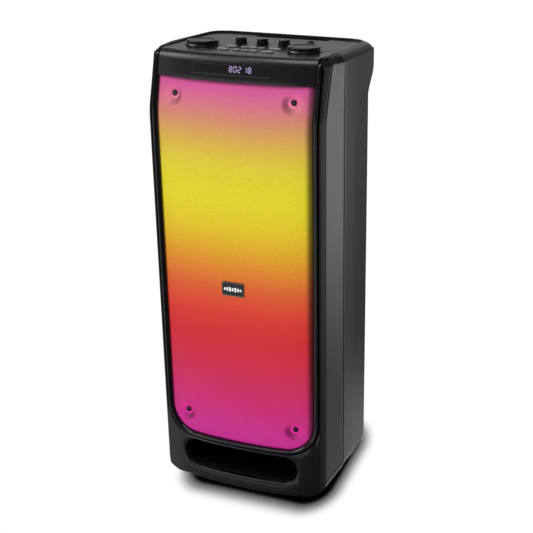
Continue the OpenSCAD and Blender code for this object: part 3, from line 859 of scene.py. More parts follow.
# ------------------------------------------------------------------ gloss ring, swept round the grille and over the top corners
def ring_path():
    """Outer edge point and inner edge point along the right half, from the bottom centre up and back; over the top the
    inner point is None.
    """
    out = []
    hw, zb, r = 145.6, 92.4, 55.6
    ihw, izb, ir = 136.9, 98.2, 49.8
    for x in np.linspace(0, hw - r, 26)[:-1]:
        out.append(((x, float(yfront(x, zb)), zb), (x * (ihw - ir) / (hw - r), float(yfront(x, izb)), izb)))
    for a in np.linspace(-90, 0, 34):
        c, s = math.cos(math.radians(a)), math.sin(math.radians(a))
        x, z = hw - r + r * c, zb + r + r * s
        xi, zi = ihw - ir + ir * c, izb + ir + ir * s
        out.append(((x, float(plan_front(x) + 0.27 * ramp(z)), z), (xi, float(yfront(xi, zi)), zi)))
    for z in list(np.linspace(160, 650, 24)) + list(np.arange(660, 748, 5.0)) + [752, 760, 768, 775, 781]:
        zz = z
        P = place(hw, float(plan_front(hw)), zz)
        Q = place(ihw, float(plan_front(ihw)), zz)
        out.append((tuple(P), tuple(Q)))
    # over the corner and back along the deck
    for x0, y0 in catmull([(146.0, -133.8), (147.6, -132.0), (149.4, -129.9), (151.4, -126.7), (153.4, -123.2), (155.2, -119), (157, -101), (158.6, -86), (160.2, -69), (161.8, -52)], 4):
        o = 162.5 * (1 - hw / x0)
        if o > 16.5:
            break
        P = place(x0, y0, float(shoulder(o)), o)
        out.append((tuple(P), None))
    y_last, z_last = out[-1][0][1], out[-1][0][2]
    for y in np.arange(y_last + 4, 33, 4.0):
        out.append(((hw, y, z_last - SLOPE * (y - y_last)), None))
    return out


half_ring = ring_path()
P = np.array([p[0] for p in half_ring], float)
# smooth the run over the corner
first_top = next(i for i, p in enumerate(half_ring) if p[1] is None)
for _ in range(6):
    Q = P.copy()
    Q[first_top - 3:-1] = 0.25 * P[first_top - 4:-2] + 0.5 * P[first_top - 3:-1] + 0.25 * P[first_top - 2:]
    P = Q
T = np.gradient(P, axis=0)
T /= np.linalg.norm(T, axis=1)[:, None]
B = np.zeros_like(P)
W = np.zeros(len(P))
for i, (p, q) in enumerate(half_ring):
    if q is not None:
        v = np.array(q) - P[i]
        W[i] = np.linalg.norm(v)
        B[i] = v / W[i]
        last = B[i].copy()
        nfront = i
    else:
        t = min(1.0, (i - nfront) / 14)
        v = last * (1 - t) + np.array([-1.0, 0, 0]) * t
        B[i] = v / np.linalg.norm(v)
        W[i] = 8.9
tail = np.clip((P[:, 1] + 92) / 122, 0, 1)
for i in range(nfront + 1, len(P)):
    W[i] = 8.9 * (1 - tail[i]) ** 0.8 + 0.8
B -= (B * T).sum(1)[:, None] * T
B /= np.linalg.norm(B, axis=1)[:, None]
NN = np.cross(T, B)
if NN[0][1] > 0:
    NN = -NN
for i in range(1, len(NN)):
    if NN[i].dot(NN[i - 1]) < 0:
        NN[i] = -NN[i]
# profile: share of the width inwards from the outer edge, depth below the skin
PROF = [(0.02, 12), (0.02, 4.8), (0.05, 3.2), (0.10, 1.8), (0.17, 0.75), (0.25, 0.2), (0.33, 0.0), (0.42, 0.15), (0.54, 0.75), (0.66, 1.8), (0.78, 3.2), (0.87, 5.0), (0.93, 7.2), (0.95, 9.0), (0.95, 12)]
full_P = np.vstack([P[::-1] * [-1, 1, 1], P[1:]])
full_B = np.vstack([B[::-1] * [-1, 1, 1], B[1:]])
full_N = np.vstack([NN[::-1] * [-1, 1, 1], NN[1:]])
full_W = np.concatenate([W[::-1], W[1:]])
verts = []
for p, b, n, w in zip(full_P, full_B, full_N, full_W):
    kd = min(1.0, w / 8.9)
    for s, d in PROF:
        dd = d * (kd if d < 10 else 1.0) if d < 10 else d * max(0.5, kd)
        verts.append(p + b * s * w - n * (dd + 0.25))
idx = np.arange(len(verts)).reshape(len(full_P), len(PROF))
faces = [tuple(f) for f in grid_faces(idx, wrap_cols=True)] + [tuple(idx[0][::-1]), tuple(idx[-1])]
ring = obj_from("trim_ring_band", verts, faces, M_GLOSS)
outward(ring)
sharp(ring, 55)
finish_piece(ring, "cabinet", "gloss_black", "trim_ring")

# ------------------------------------------------------------------ grille
def grille_y(x, z):
    """Front face of the sheet: bow, lean, rolled edges and four dimples."""
    x, z = np.asarray(x, float), np.asarray(z, float)
    y = yfront(x, z, 6.0)
    hw, zb, r = 136.4, 98.1, 49.4
    dx, dz = np.abs(x) - (hw - r), (zb + r) - z
    d = np.where((dx > 0) & (dz > 0), r - np.hypot(dx, dz), np.minimum(r - dx, np.where(dz > 0, r - dz, 1e3)))
    d = np.clip(d, 0, 9)
    y = y + 3.2 * (1 - d / 9) ** 2.2
    for sx, sz in GSCREW:
        q = np.hypot(x - sx, z - sz)
        t = np.clip((16.5 - q) / 11.3, 0, 1)
        y = y + 8.6 * (t * t * (3 - 2 * t) * 0.7 + t * 0.3)
    return y


gxs = list(np.linspace(0, 80, 15)) + list(np.arange(81, 123, 1.3)) + [124.5, 126.5, 128.3, 130, 131.4, 132.6, 133.6, 134.4, 135.0, 135.5, 135.9, 136.2, 136.4]
gxs = np.array([-v for v in gxs[::-1] if v > 0] + gxs)
fz = sorted(set(np.round(np.concatenate([98 + np.array([0, 0.4, 1.0, 1.9, 3.1, 4.6, 6.4, 8.8]), np.linspace(109, 119, 4), np.arange(120, 157, 1.3), np.linspace(160, 700, 60), np.arange(704, 749, 1.3), [750.5, 752.4, 754.4]]), 3)))
zlo, zhi = fz[0], fz[-1]
verts = []
for x in gxs:
    ax = abs(x)
    c = 136.4 - 49.4
    zb = 98.1 if ax <= c else 98.1 + 49.4 - math.sqrt(max(0, 49.4**2 - (ax - c) ** 2))
    for z in fz:
        # rows bend up towards the round lower corners and are level again by z = 112 + corner rise
        lift = (zb - 98.1) * max(0.0, 1 - (z - 98) / 200.0) ** 3 if z < 298 else 0.0
        zz = z + lift
        verts.append((x, float(grille_y(x, zz)), zz))
idx = np.arange(len(verts)).reshape(len(gxs), len(fz)).T
grille = obj_from("grille_sheet", verts, [tuple(f) for f in grid_faces(idx)], M_GRILLE)
outward(grille)
face_out(grille, (0, -0.149, 0.4), (0, -1, 0))
solidify(grille, 1.2)
# screw holes at the bottom of the dimples
for sx, sz in GSCREW:
    cyl = lathe("hole", [(0, -15), (2.4, -15), (2.4, 15), (0, 15)], None, 32, closed=False)
    put(cyl, Matrix.Translation(Vector((sx, float(grille_y(sx, sz)), sz)) * MM) @ Matrix.Rotation(math.pi / 2, 4, "X"))
    boolean(grille, cyl)
# painted shade and painted highlight on the grille, kept per vertex and multiplied into the glow
lit = grille.data.attributes.new("lit", "FLOAT", "POINT")
vals = []
for v in grille.data.vertices:
    x, z = v.co.x * 1000, v.co.z * 1000
    k = 1.0
    # in each dimple: painted shade on one side, a painted highlight on the far side and a bright painted ring round the
    # screw hole
    for sx, sz in GSCREW:
        dx, dz = (x - sx) * (1 if sx > 0 else -1), z - sz
        q = math.hypot(dx, dz)
        if q < 24:
            side = (-dx * 0.82 - dz * 0.57) / max(q, 0.1)  # 1 on the shaded side
            if sx < 0:
                side = (-dx * 0.75 - dz * 0.66) / max(q, 0.1)
            shade = 0.72 * max(0.0, side) ** 0.8 * float(sm((q - 7.0) / 3.5)) * float(1 - sm((q - 13.5) / 6.0))
            far = 0.30 * max(0.0, -side) * float(sm((q - 5) / 4)) * float(1 - sm((q - 13) / 6))
            near = 0.55 * max(0.0, 0.25 + side) * float(sm((q - 4.4) / 1.0)) * float(1 - sm((q - 6.8) / 1.8))
            k *= (1 - shade) * (1 + far) + near
    # painted shade towards both side edges, beside the ring
    k *= float(1 - 0.95 * sm((x - 123.0) / 10.0)) * float(1 - 0.9 * sm((-x - 129.5) / 5.0))
    # painted shadow under the console along the top edge
    k *= float(1 - 0.85 * sm((z - 747.5) / 6.5))
    # painted shade on the rolled lower edge and round the lower corners
    r_, hw_, zb_ = 49.4, 136.4, 98.1
    ddx, ddz = abs(x) - (hw_ - r_), (zb_ + r_) - z
    if ddz > 0:
        d_ = r_ - (math.hypot(ddx, ddz) if ddx > 0 else ddz)
        k *= float(1 - 0.75 * (1 - sm(d_ / 5.5)))
    vals.append(k)
lit.data.foreach_set("value", vals)
sharp(grille, 60)
finish_piece(grille, "cabinet", "lit_grille", "front_grille")

# grille screws: domed heads with a hex recess
sv = None
for i, (sx, sz) in enumerate(GSCREW):
    head = lathe("screw", [(0, -12), (2, -12), (2, 0), (5.0, 0), (5.2, 0.4), (5.15, 1.2), (4.7, 2.0), (3.9, 2.5), (2.8, 2.75), (0, 2.75)], M_SCREW, 48, closed=False)
    hexc = prism("hex", [(1.75 * math.cos(math.radians(60 * j)), 1.75 * math.sin(math.radians(60 * j))) for j in range(6)], 1.0, 5.0)
    boolean(head, hexc)
    put(head, Matrix.Translation(Vector((sx, float(grille_y(sx, sz)) - 0.1, sz)) * MM) @ Matrix.Rotation(math.pi / 2, 4, "X"))
    if sv is None:
        sv = head
    else:
        bm = bmesh.new()
        bm.from_mesh(sv.data)
        bm.from_mesh(head.data)
        bm.to_mesh(sv.data)
        bm.free()
        bpy.data.objects.remove(head)
sv.name = "grille_screw_heads"
sharp(sv, 35)
finish_piece(sv, "cabinet", "dark_steel", "grille_screws")

# ------------------------------------------------------------------ console band and deck
BAND = catmull([(3.8, 754.6), (3.2, 758.5), (2.9, 763), (2.8, 769), (2.85, 776), (2.95, 781.5), (3.3, 785.4), (4.4, 789.0), (6.4, 792.2), (9.4, 794.7), (13.2, 796.2), (18.5, 796.9), (25.0, 797.0)], 4)
hwc = 136.5
cols = np.concatenate([np.linspace(0, 120, 25), [124, 127.5, 130.5, 133, 134.8, 135.9, hwc]])
cols = np.array([-v for v in cols[::-1] if v > 0] + list(cols))
verts = []
for x in cols:
    for o, lv in BAND:
        x0 = x / (1 - o / 162.5)
        if abs(x0) > 142:
            y0 = float(np.interp(abs(x0), [142, 146.5, 150, 153, 155.2, 159, 162.5], [-135, -133.4, -130.4, -127.6, -125.4, -121, -117]))
        else:
            y0 = float(-155 + eb(x0))
        p = place(x0, y0, lv, o)
        verts.append(tuple(p))
    yl = verts[-1][1]
    yy = max(yl + 3, -88.0)
    verts.append((x, yy, DECK - SLOPE * (yy + 130)))
idx = np.arange(len(verts)).reshape(len(cols), len(BAND) + 1).T
console = obj_from("console", verts, [tuple(f) for f in grid_faces(idx)], M_DECK)
outward(console)
face_out(console, (0, -0.15, 0.76), (0, -1, 0))
solidify(console, 3.0)


def inset_curve(o, lo=-200, extra=0.0):
    """Plan of the skin at deck level, inset by o, for y above lo, right side first then round the back."""
    pts = []
    for x0, y0 in seq:
        p = place(x0, y0, 797.0, o)
        if p[1] > lo:
            pts.append((p[0], p[1]))
    return pts


edge = inset_curve(16.4, 34)
right = [(x, y) for x, y in edge]
poly = [(-hwc, -100.0), (hwc, -100.0), (hwc, -88)] + [(hwc + (146.6 - hwc) * t, -84 + (34 + 84) * t) for t in (0.15, 0.4, 0.7, 0.95)] + right + [(-(hwc + (146.6 - hwc) * t), -84 + (34 + 84) * t) for t in (0.95, 0.7, 0.4, 0.15)] + [(-hwc, -88)]
n = len(poly)
v = [(x, y, DECK - 4 - SLOPE * (y + 130)) for x, y in poly] + [(x, y, DECK - SLOPE * (y + 130)) for x, y in poly]
f = [tuple(range(n))[::-1], tuple(range(n, 2 * n))] + [(i, (i + 1) % n, n + (i + 1) % n, n + i) for i in range(n)]
slab = outward(obj_from("slab", v, f, M_DECK, smooth=False))
boolean(console, slab, "UNION")


def oval_pts(w, d, n=14):
    a = [(w / 2 - d / 2 + d / 2 * math.cos(t), d / 2 * math.sin(t)) for t in np.linspace(-math.pi / 2, math.pi / 2, n)]
    return a + [(-x, -y) for x, y in a]


def bw(x):
    return 20.5 if abs(x) > 20 else 13.0


def bd(x):
    return 12.5 if abs(x) > 20 else 10.0


def deck_cut(poly2, x, y, z0=-8, z1=12):
    c = prism("cut", poly2, z0, z1)
    put(c, deck_matrix(x, y))
    boolean(console, c)


HAND = dict(x0=-56.5, x1=79.5, y0=110.2, y1=134.6)
c = prism("cut", [(HAND["x0"], HAND["y0"]), (HAND["x1"], HAND["y0"]), (HAND["x1"], 150), (HAND["x0"], 150)], 740, 830)
boolean(console, c)
for r_i, by in enumerate(BTN_Y):
    for bx in BTN_X:
        deck_cut(oval_pts(bw(bx) + 1.4, bd(bx) + 1.4), bx, by)
for s in (-1, 1):
    deck_cut([(30.4 * math.cos(t), 30.4 * math.sin(t)) for t in np.linspace(0, 2 * math.pi, 97)[:-1]], s * 90, -40, -1.2, 12)
    deck_cut([(3.7 * math.cos(t), 3.7 * math.sin(t)) for t in np.linspace(0, 2 * math.pi, 33)[:-1]], s * 90, -40)
for x in (-39, 0, 39):
    deck_cut([(11.2 * math.cos(t), 11.2 * math.sin(t)) for t in np.linspace(0, 2 * math.pi, 65)[:-1]], x, 5, -0.9, 12)
    deck_cut([(3.2 * math.cos(t), 3.2 * math.sin(t)) for t in np.linspace(0, 2 * math.pi, 33)[:-1]], x, 5)
deck_cut([(4.8 * math.cos(t), 4.8 * math.sin(t)) for t in np.linspace(0, 2 * math.pi, 33)[:-1]], 61, 75)
deck_cut([(-82, -1.0), (82, -1.0), (82, 1.0), (-82, 1.0)], 0, 40, -1.3, 4)
bevel(console, 0.45, 2, 50)
sharp(console, 45)
finish_piece(console, "cabinet", "deck_plastic", "control_panel")

# printed ticks round the small knobs and a dot by each dial: short raised bars, no lettering
tv, tf = [], []


def bar(x, y, w, l, ang, z0=-0.3, z1=0.18):
    m = deck_matrix(x, y) @ Matrix.Rotation(ang, 4, "Z")
    b0 = len(tv)
    for zz in (z0, z1):
        for a, b in ((-w / 2, -l / 2), (w / 2, -l / 2), (w / 2, l / 2), (-w / 2, l / 2)):
            p = m @ Vector((a * MM, b * MM, zz * MM))
            tv.append((p.x, p.y, p.z))
    for q in ((0, 3, 2, 1), (4, 5, 6, 7), (0, 1, 5, 4), (1, 2, 6, 5), (2, 3, 7, 6), (3, 0, 4, 7)):
        tf.append(tuple(b0 + i for i in q))


for x in (-39, 0, 39):
    for a in range(-150, 151, 30):
        t = math.radians(a)
        bar(x + 14.2 * math.sin(t), 5 + 14.2 * math.cos(t), 0.7, 2.2, -t)
for x in (-39, 0, 39):
    bar(x, 27.5, 7, 0.9, 0)
for s in (-1, 1):
    bar(s * 90, -4.5, 1.4, 4, 0)
ticks = obj_from("deck_marks", tv, tf, mat("mark_print", (0.07, 0.07, 0.072), 0.5), smooth=False, scale=1.0)
finish_piece(ticks, "cabinet", "button_plastic")

# smoked window across the middle of the band, and its digits
def band_pt(x, lv, o):
    x0 = x / (1 - o / 162.5)
    return place(x0, float(-155 + eb(x0)), lv, o)


wx = np.linspace(-68, 68, 35)
wl = [(2.74, 764.5), (2.67, 768), (2.64, 772), (2.67, 776.0), (2.73, 779.6), (2.78, 782.0)]
verts = [tuple(band_pt(x, lv, o)) for x in wx for o, lv in wl]
idx = np.arange(len(verts)).reshape(len(wx), len(wl)).T
win = obj_from("display_lens", verts, [tuple(f) for f in grid_faces(idx)], M_WINDOW)
outward(win)
face_out(win, (0, -0.15, 0.772), (0, -1, 0))
solidify(win, 1.6)
bevel(win, 0.15, 2, 50)
sharp(win, 45)
finish_piece(win, "cabinet", "gloss_black", "display_window")

SEG = {"0": "abcdef", "1": "bc", "2": "abged", "3": "abgcd", "4": "fgbc", "5": "afgcd", "6": "afgedc", "7": "abc", "8": "abcdefg", "9": "abcdfg"}
dv, df = [], []


def seg_bar(x, z, w, h):
    """A thin lit bar standing on the lens."""
    b0 = len(dv)
    ch = min(w, h) * 0.45
    pts = [(-w / 2 + ch, -h / 2), (w / 2 - ch, -h / 2), (w / 2, 0), (w / 2 - ch, h / 2), (-w / 2 + ch, h / 2), (-w / 2, 0)] if w > h else \
          [(0, -h / 2), (w / 2, -h / 2 + ch), (w / 2, h / 2 - ch), (0, h / 2), (-w / 2, h / 2 - ch), (-w / 2, -h / 2 + ch)]
    for oo in (2.70, 2.38):
        for a, b in pts:
            dv.append(tuple(band_pt(x + a, z + b, oo)))
    k = len(pts)
    df.append(tuple(b0 + i for i in range(k)))
    df.append(tuple(b0 + k + i for i in range(k))[::-1])
    for i in range(k):
        df.append((b0 + i, b0 + (i + 1) % k, b0 + k + (i + 1) % k, b0 + k + i))


def digit(ch, x, z, w=4.3, h=8.6, t=0.85):
    m = {"a": (0, h / 2, w - t, t), "g": (0, 0, w - t, t), "d": (0, -h / 2, w - t, t), "f": (-w / 2, h / 4, t, h / 2 - t), "b": (w / 2, h / 4, t, h / 2 - t), "e": (-w / 2, -h / 4, t, h / 2 - t), "c": (w / 2, -h / 4, t, h / 2 - t)}
    for s in SEG[ch]:
        a, b, ww, hh = m[s]
        seg_bar(x + a, z + b, ww, hh)


for ch, x in (("8", 0.0), ("0", 7.4), ("2", 14.8), ("1", 24.6), ("8", 32.0)):
    digit(ch, x, 775.2)
dig = obj_from("display_digits", dv, df, M_DIGIT, smooth=False)
outward(dig)
finish_piece(dig, "cabinet", "badge_pale")

# ------------------------------------------------------------------ dials, knobs, buttons
def jog(side, body):
    r, h = 28.5, 10.2
    prof = [(0, 0.5), (r - 1.0, 0.5), (r - 0.3, 0.7), (r, 1.2), (r - 0.15, 1.7), (r - 1.0, 2.6), (r - 1.7, 3.8), (r - 2.0, 5.2), (r - 1.9, 6.4), (r - 1.55, 7.4),
            (r - 1.5, 7.9), (r - 1.7, 8.6), (r - 2.3, 9.3), (r - 3.2, 9.75), (r - 4.4, 9.8), (r - 5.2, 9.5), (r - 5.8, 9.05), (r - 6.4, 8.85)]
    o = lathe("jog_%s_body" % side, prof + [(r - 9, 8.8), (10, 8.75), (0, 8.75)], M_GLOSS, 160, closed=False)
    # underside closes at the axis: add the stem
    stem = lathe("stem", [(0, -13), (3.4, -13), (3.4, 1.0), (0, 1.0)], M_GLOSS, 48, closed=False)
    boolean(o, stem, "UNION")
    # spun top on its own slot
    o.data.materials.append(M_SPUN)
    for p in o.data.polygons:
        if p.center.z > 8.7 * MM and math.hypot(p.center.x, p.center.y) < (r - 1.9) * MM and p.normal.z > 0.35:
            p.material_index = 1
    spin_attr(o)
    sharp(o, 50)
    sx = -90 if side == "left" else 90
    put(o, deck_matrix(sx, -40))
    finish_piece(o, body, "gloss_black", "jog_" + side)


jog("left", "jog_left")
jog("right", "jog_right")


def knob(x, name):
    r, h = 10.0, 12.4
    prof = [(0, 0.5), (r - 0.6, 0.5), (r - 0.1, 0.8), (r, 1.3), (r - 0.12, 3), (r - 0.35, 7), (r - 0.5, h - 1.9), (r - 0.8, h - 1.1), (r - 1.4, h - 0.55), (r - 2.2, h - 0.35), (r - 3.5, h - 0.45), (0, h - 0.5)]
    seg = 120
    o = lathe(name + "_body", prof, M_GLOSS, seg, closed=False)
    me = o.data
    # fine grip flutes on the side wall
    for v in me.vertices:
        rr = math.hypot(v.co.x, v.co.y)
        if rr > 8.9 * MM and 1.6 * MM < v.co.z < 10.4 * MM:
            a = math.atan2(v.co.y, v.co.x)
            k = 1 - 0.022 * (0.5 + 0.5 * math.cos(a * 30))
            v.co.x *= k
            v.co.y *= k
    stem = lathe("stem", [(0, -13), (2.9, -13), (2.9, 1.0), (0, 1.0)], M_GLOSS, 48, closed=False)
    boolean(o, stem, "UNION")
    line = prism("line", [(-0.55, 3.0), (0.55, 3.0), (0.55, r - 1.6), (-0.55, r - 1.6)], h - 1.0, h + 0.05)
    line.data.materials.append(M_GLOSS)
    boolean(o, line, "UNION")
    sharp(o, 40)
    put(o, deck_matrix(x, 5))
    finish_piece(o, name, "gloss_black", name)


for x, nm in ((-39, "knob_left"), (0, "knob_centre"), (39, "knob_right")):
    knob(x, nm)


def button(ci, ri):
    x, y = BTN_X[ci], BTN_Y[ri]
    w, d = bw(x), bd(x)
    name = "button_%s%d" % ("fr"[ri], ci + 1)
    # stacked oval sections: flange, shank, softly crowned cap
    secs = [(-6.2, 1.3), (-4.6, 1.3), (-4.6, 0.0), (0.9, 0.0), (1.6, -0.15), (2.1, -0.55), (2.4, -1.2), (2.5, -2.2)]
    n = 40
    verts, rows = [], []
    for z, g in secs:
        pts = oval_pts(w + g, max(d + g, 0.8), n // 2)
        rows.append(list(range(len(verts), len(verts) + len(pts))))
        verts += [(a, b, z) for a, b in pts]
    m = len(rows[0])
    faces = [tuple(rows[0][::-1]), tuple(rows[-1])]
    for a, b in zip(rows[:-1], rows[1:]):
        faces += [(a[i], a[(i + 1) % m], b[(i + 1) % m], b[i]) for i in range(m)]
    o = outward(obj_from(name + "_cap", verts, faces, M_BUTTON))
    weld(o, 0.000005)
    sharp(o, 45)
    put(o, deck_matrix(x, y))
    finish_piece(o, name, "button_plastic", name)


for ri in (0, 1):
    for ci in range(5):
        button(ci, ri)

# dark bezels round the buttons
def bezel(x, y, i):
    w, d = bw(x), bd(x)
    n = 40
    ring_secs = [(1.1, -1.4), (1.1, 0.25), (1.5, 0.45), (2.2, 0.5), (2.9, 0.35), (3.2, 0.0), (3.2, -1.4)]
    verts, rows = [], []
    for g, z in ring_secs:
        pts = oval_pts(w + g, d + g, n // 2)
        rows.append(list(range(len(verts), len(verts) + len(pts))))
        verts += [(a, b, z) for a, b in pts]
    m = len(rows[0])
    faces = []
    k = len(rows)
    for j in range(k):
        a, b = rows[j], rows[(j + 1) % k]
        faces += [(a[q], a[(q + 1) % m], b[(q + 1) % m], b[q]) for q in range(m)]
    o = outward(obj_from("bezel_%d" % i, verts, faces, M_GLOSS))
    weld(o, 0.000005)
    sharp(o, 50)
    put(o, deck_matrix(x, y))
    finish_piece(o, "cabinet", "gloss_black")


for i, (x, y) in enumerate([(x, y) for y in BTN_Y for x in BTN_X]):
    bezel(x, y, i)

# deck jack: nut, washer face and a deep bore
jackp = [(3.2, -22), (3.2, 2.2), (3.35, 2.6), (3.8, 2.75), (4.6, 2.75), (5.0, 2.5), (5.1, 2.0), (5.1, 1.1), (5.4, 0.9), (7.2, 0.8), (7.6, 0.5), (7.6, 0.02), (4.5, 0.02), (4.5, -26), (2.0, -26), (2.0, -22)]
jk = lathe("deck_jack", jackp, M_DARK, 72, closed=True)
sharp(jk, 40)
put(jk, deck_matrix(61, 75))
finish_piece(jk, "cabinet", "black_plastic", "top_jack")

# grip recess: a moulded tray with a rolled lip, set in the deck
def tray(name, x0, x1, y0, y1, zb, wall, rc):
    def rr(g, n=8):
        pts = []
        for cx_, cy_, a0 in ((x1 - rc, y1 - rc, 0), (x0 + rc, y1 - rc, 90), (x0 + rc, y0 + rc, 180), (x1 - rc, y0 + rc, 270)):
            for a in np.linspace(a0, a0 + 90, n):
                pts.append((cx_ + (rc + g) * math.cos(math.radians(a)), cy_ + (rc + g) * math.sin(math.radians(a))))
        return pts
    top = lambda y: DECK - SLOPE * (y + 130)
    secs = [(2.4, "deck", -0.2), (2.2, "deck", 0.35), (1.6, "deck", 0.55), (0.8, "deck", 0.45), (0.2, "deck", 0.0), (0.0, "deck", -1.2), (-0.8, "flat", zb + 6), (-2.4, "flat", zb + 1.2), (-4.5, "flat", zb)]
    verts, rows = [], []
    for g, kind, z in secs:
        pts = rr(g)
        rows.append(list(range(len(verts), len(verts) + len(pts))))
        verts += [(a, b, (top(b) + z) if kind == "deck" else z) for a, b in pts]
    m = len(rows[0])
    faces = [tuple(rows[-1])]
    for a, b in zip(rows[:-1], rows[1:]):
        faces += [(a[i], a[(i + 1) % m], b[(i + 1) % m], b[i]) for i in range(m)]
    o = obj_from(name, verts, faces, M_DUCT)
    outward(o)
    face_out(o, (0, (y0 + y1) / 2 * MM, zb * MM), (0, 0, 1))
    solidify(o, wall)
    sharp(o, 50)
    return o


hp = tray("grip_recess", HAND["x0"] + 1.6, HAND["x1"] - 1.6, HAND["y0"] + 1.6, HAND["y1"] - 1.6, 737.0, 1.4, 6.0)
finish_piece(hp, "cabinet", "black_plastic", "handle_pocket")

# port duct: flared into the slot, open at the back
n = 96
def ob(hw, hh, n=24):
    c = hw - hh
    a = [(c + hh * math.cos(t), hh * math.sin(t)) for t in np.linspace(-math.pi / 2, math.pi / 2, n)]
    return a + [(-x, -y) for x, y in a]


verts, rows = [], []
for g, dy in ((0.6, 4.6), (-0.2, 6.5), (-0.9, 10), (-1.2, 18), (-1.2, 60), (-1.2, 120), (-0.6, 190), (1.5, 206), (4.5, 212)):
    pts = ob(PHW + g, PHH + g)
    rows.append(list(range(len(verts), len(verts) + len(pts))))
    for a, b in pts:
        yb = float(plan_front(a)) if dy < 20 else -155.0 + 6
        verts.append((a, yb + dy if dy < 20 else -150 + dy, PORT_Z + b))
m = len(rows[0])
faces = []
for a, b in zip(rows[:-1], rows[1:]):
    faces += [(a[i], a[(i + 1) % m], b[(i + 1) % m], b[i]) for i in range(m)]
duct = obj_from("port_tube", verts, faces, M_DUCT)
outward(duct)
face_out(duct, (0, 0, (PORT_Z - PHH) * MM), (0, 0, 1))
solidify(duct, 2.2)
sharp(duct, 50)
finish_piece(duct, "cabinet", "black_plastic", "port_duct")

# badge: a bevelled plate with a raised border, seven plain bars on it
def rounded(w, h, r, n=6):
    pts = []
    for cx_, cy_, a0 in ((w / 2 - r, h / 2 - r, 0), (-w / 2 + r, h / 2 - r, 90), (-w / 2 + r, -h / 2 + r, 180), (w / 2 - r, -h / 2 + r, 270)):
        for a in np.linspace(a0, a0 + 90, n):
            pts.append((cx_ + r * math.cos(math.radians(a)), cy_ + r * math.sin(math.radians(a))))
    return pts


BZ = 400.5
verts, rows = [], []
for w, h, y in ((40, 25, -149.0), (40, 25, -151.6), (39.6, 24.6, -152.2), (38.8, 23.8, -152.6), (37.6, 22.6, -152.6), (37.0, 22.0, -152.2), (36.6, 21.6, -151.9)):
    pts = rounded(w, h, 2.6 * w / 40)
    rows.append(list(range(len(verts), len(verts) + len(pts))))
    verts += [(a, y, BZ + b) for a, b in pts]
m = len(rows[0])
faces = [tuple(rows[0]), tuple(rows[-1])]
for a, b in zip(rows[:-1], rows[1:]):
    faces += [(a[i], a[(i + 1) % m], b[(i + 1) % m], b[i]) for i in range(m)]
bad = outward(obj_from("badge_plate", verts, faces, M_BADGE))
bad.data.materials.append(M_BADGE_EDGE)
for p in bad.data.polygons:
    if len(p.vertices) == 4 and p.center.y < -0.1520:
        p.material_index = 1
sharp(bad, 35)
finish_piece(bad, "cabinet", "badge_metal", "badge")
verts, faces = [], []
for i, hh in enumerate((4, 6, 8, 5.5, 8, 6, 4)):
    x = -14.4 + i * 4.8
    b0 = len(verts)
    pts = rounded(3.0, hh, 0.8, 4)
    for y, g in ((-151.7, 1.0), (-152.55, 1.0), (-152.75, 0.9)):
        verts += [(x + a * g, y, BZ + b * g) for a, b in pts]
    k = len(pts)
    faces.append(tuple(b0 + j for j in range(k)))
    faces.append(tuple(b0 + 2 * k + j for j in range(k)))
    for lv in (0, 1):
        faces += [(b0 + lv * k + j, b0 + lv * k + (j + 1) % k, b0 + (lv + 1) * k + (j + 1) % k, b0 + (lv + 1) * k + j) for j in range(k)]
# the bars carry the pale paint with its painted glow
bars = outward(obj_from("badge_bars", verts, faces, M_PALE_PAINTED_GLOW))
sharp(bars, 35)
finish_piece(bars, "cabinet", "badge_pale", "badge_mark")

# ------------------------------------------------------------------ materials of the CAD pieces that stay
KEEP = {"rubber_feet": M_RUBBER, "io_panel": M_DARK, "io_screws": M_PLATED, "mic_jack": M_DARK, "aux_jack": M_DARK, "usb_port": M_PLATED, "ac_inlet": M_DARK, "ac_pins": M_BRASS,
        "baffle_board": M_WOOD, "light_panel": M_DIFF, "led_strips": M_LED, "woofer_frame_low": M_SCREW, "woofer_frame_high": M_SCREW, "woofer_magnets": M_IRON,
        "woofer_cone_low": M_PAPER, "woofer_cone_high": M_PAPER, "woofer_surround_low": M_RUBBER, "woofer_surround_high": M_RUBBER, "woofer_screws": M_PLATED,
        "tweeter_horn": M_DARK, "tweeter_driver": M_IRON, "amp_board": M_BOARD, "amp_heatsink": M_SINK, "board_posts": M_BRASS, "power_supply": M_PLATED,
        "control_board": M_BOARD, "encoders": M_PLATED, "tact_switches": M_DARK, "speaker_leads": M_WIRE}
for node, m in KEEP.items():
    o = N[node]
    if not len(o.material_slots):
        o.data.materials.append(m)
    for s in o.material_slots:
        s.link = "OBJECT"
        s.material = m

# ------------------------------------------------------------------ camera
cam_data = bpy.data.cameras.new("camera")
cam = bpy.data.objects.new("camera", cam_data)
bpy.context.scene.collection.objects.link(cam)
az, el, roll = math.radians(22.7197), math.radians(21.7389), math.radians(-1.42428)
back = Vector((math.sin(az) * math.cos(el), -math.cos(az) * math.cos(el), math.sin(el)))
rt = Vector((math.cos(az), math.sin(az), 0))
up = back.cross(rt)
R = rt * math.cos(roll) + up * math.sin(roll)
U = -rt * math.sin(roll) + up * math.cos(roll)
mtx = Matrix((R, U, back)).transposed().to_4x4()
mtx.translation = Vector((717.01, -1755.70, 1218.92)) * MM
cam.matrix_world = mtx
cam_data.sensor_width = 36
cam_data.lens = 1147.522 / 533 * 36
cam_data.shift_x = 10.500 / 533
cam_data.shift_y = -42.500 / 533
cam_data.clip_start = 0.05
cam_data.clip_end = 60
bpy.context.scene.camera = cam

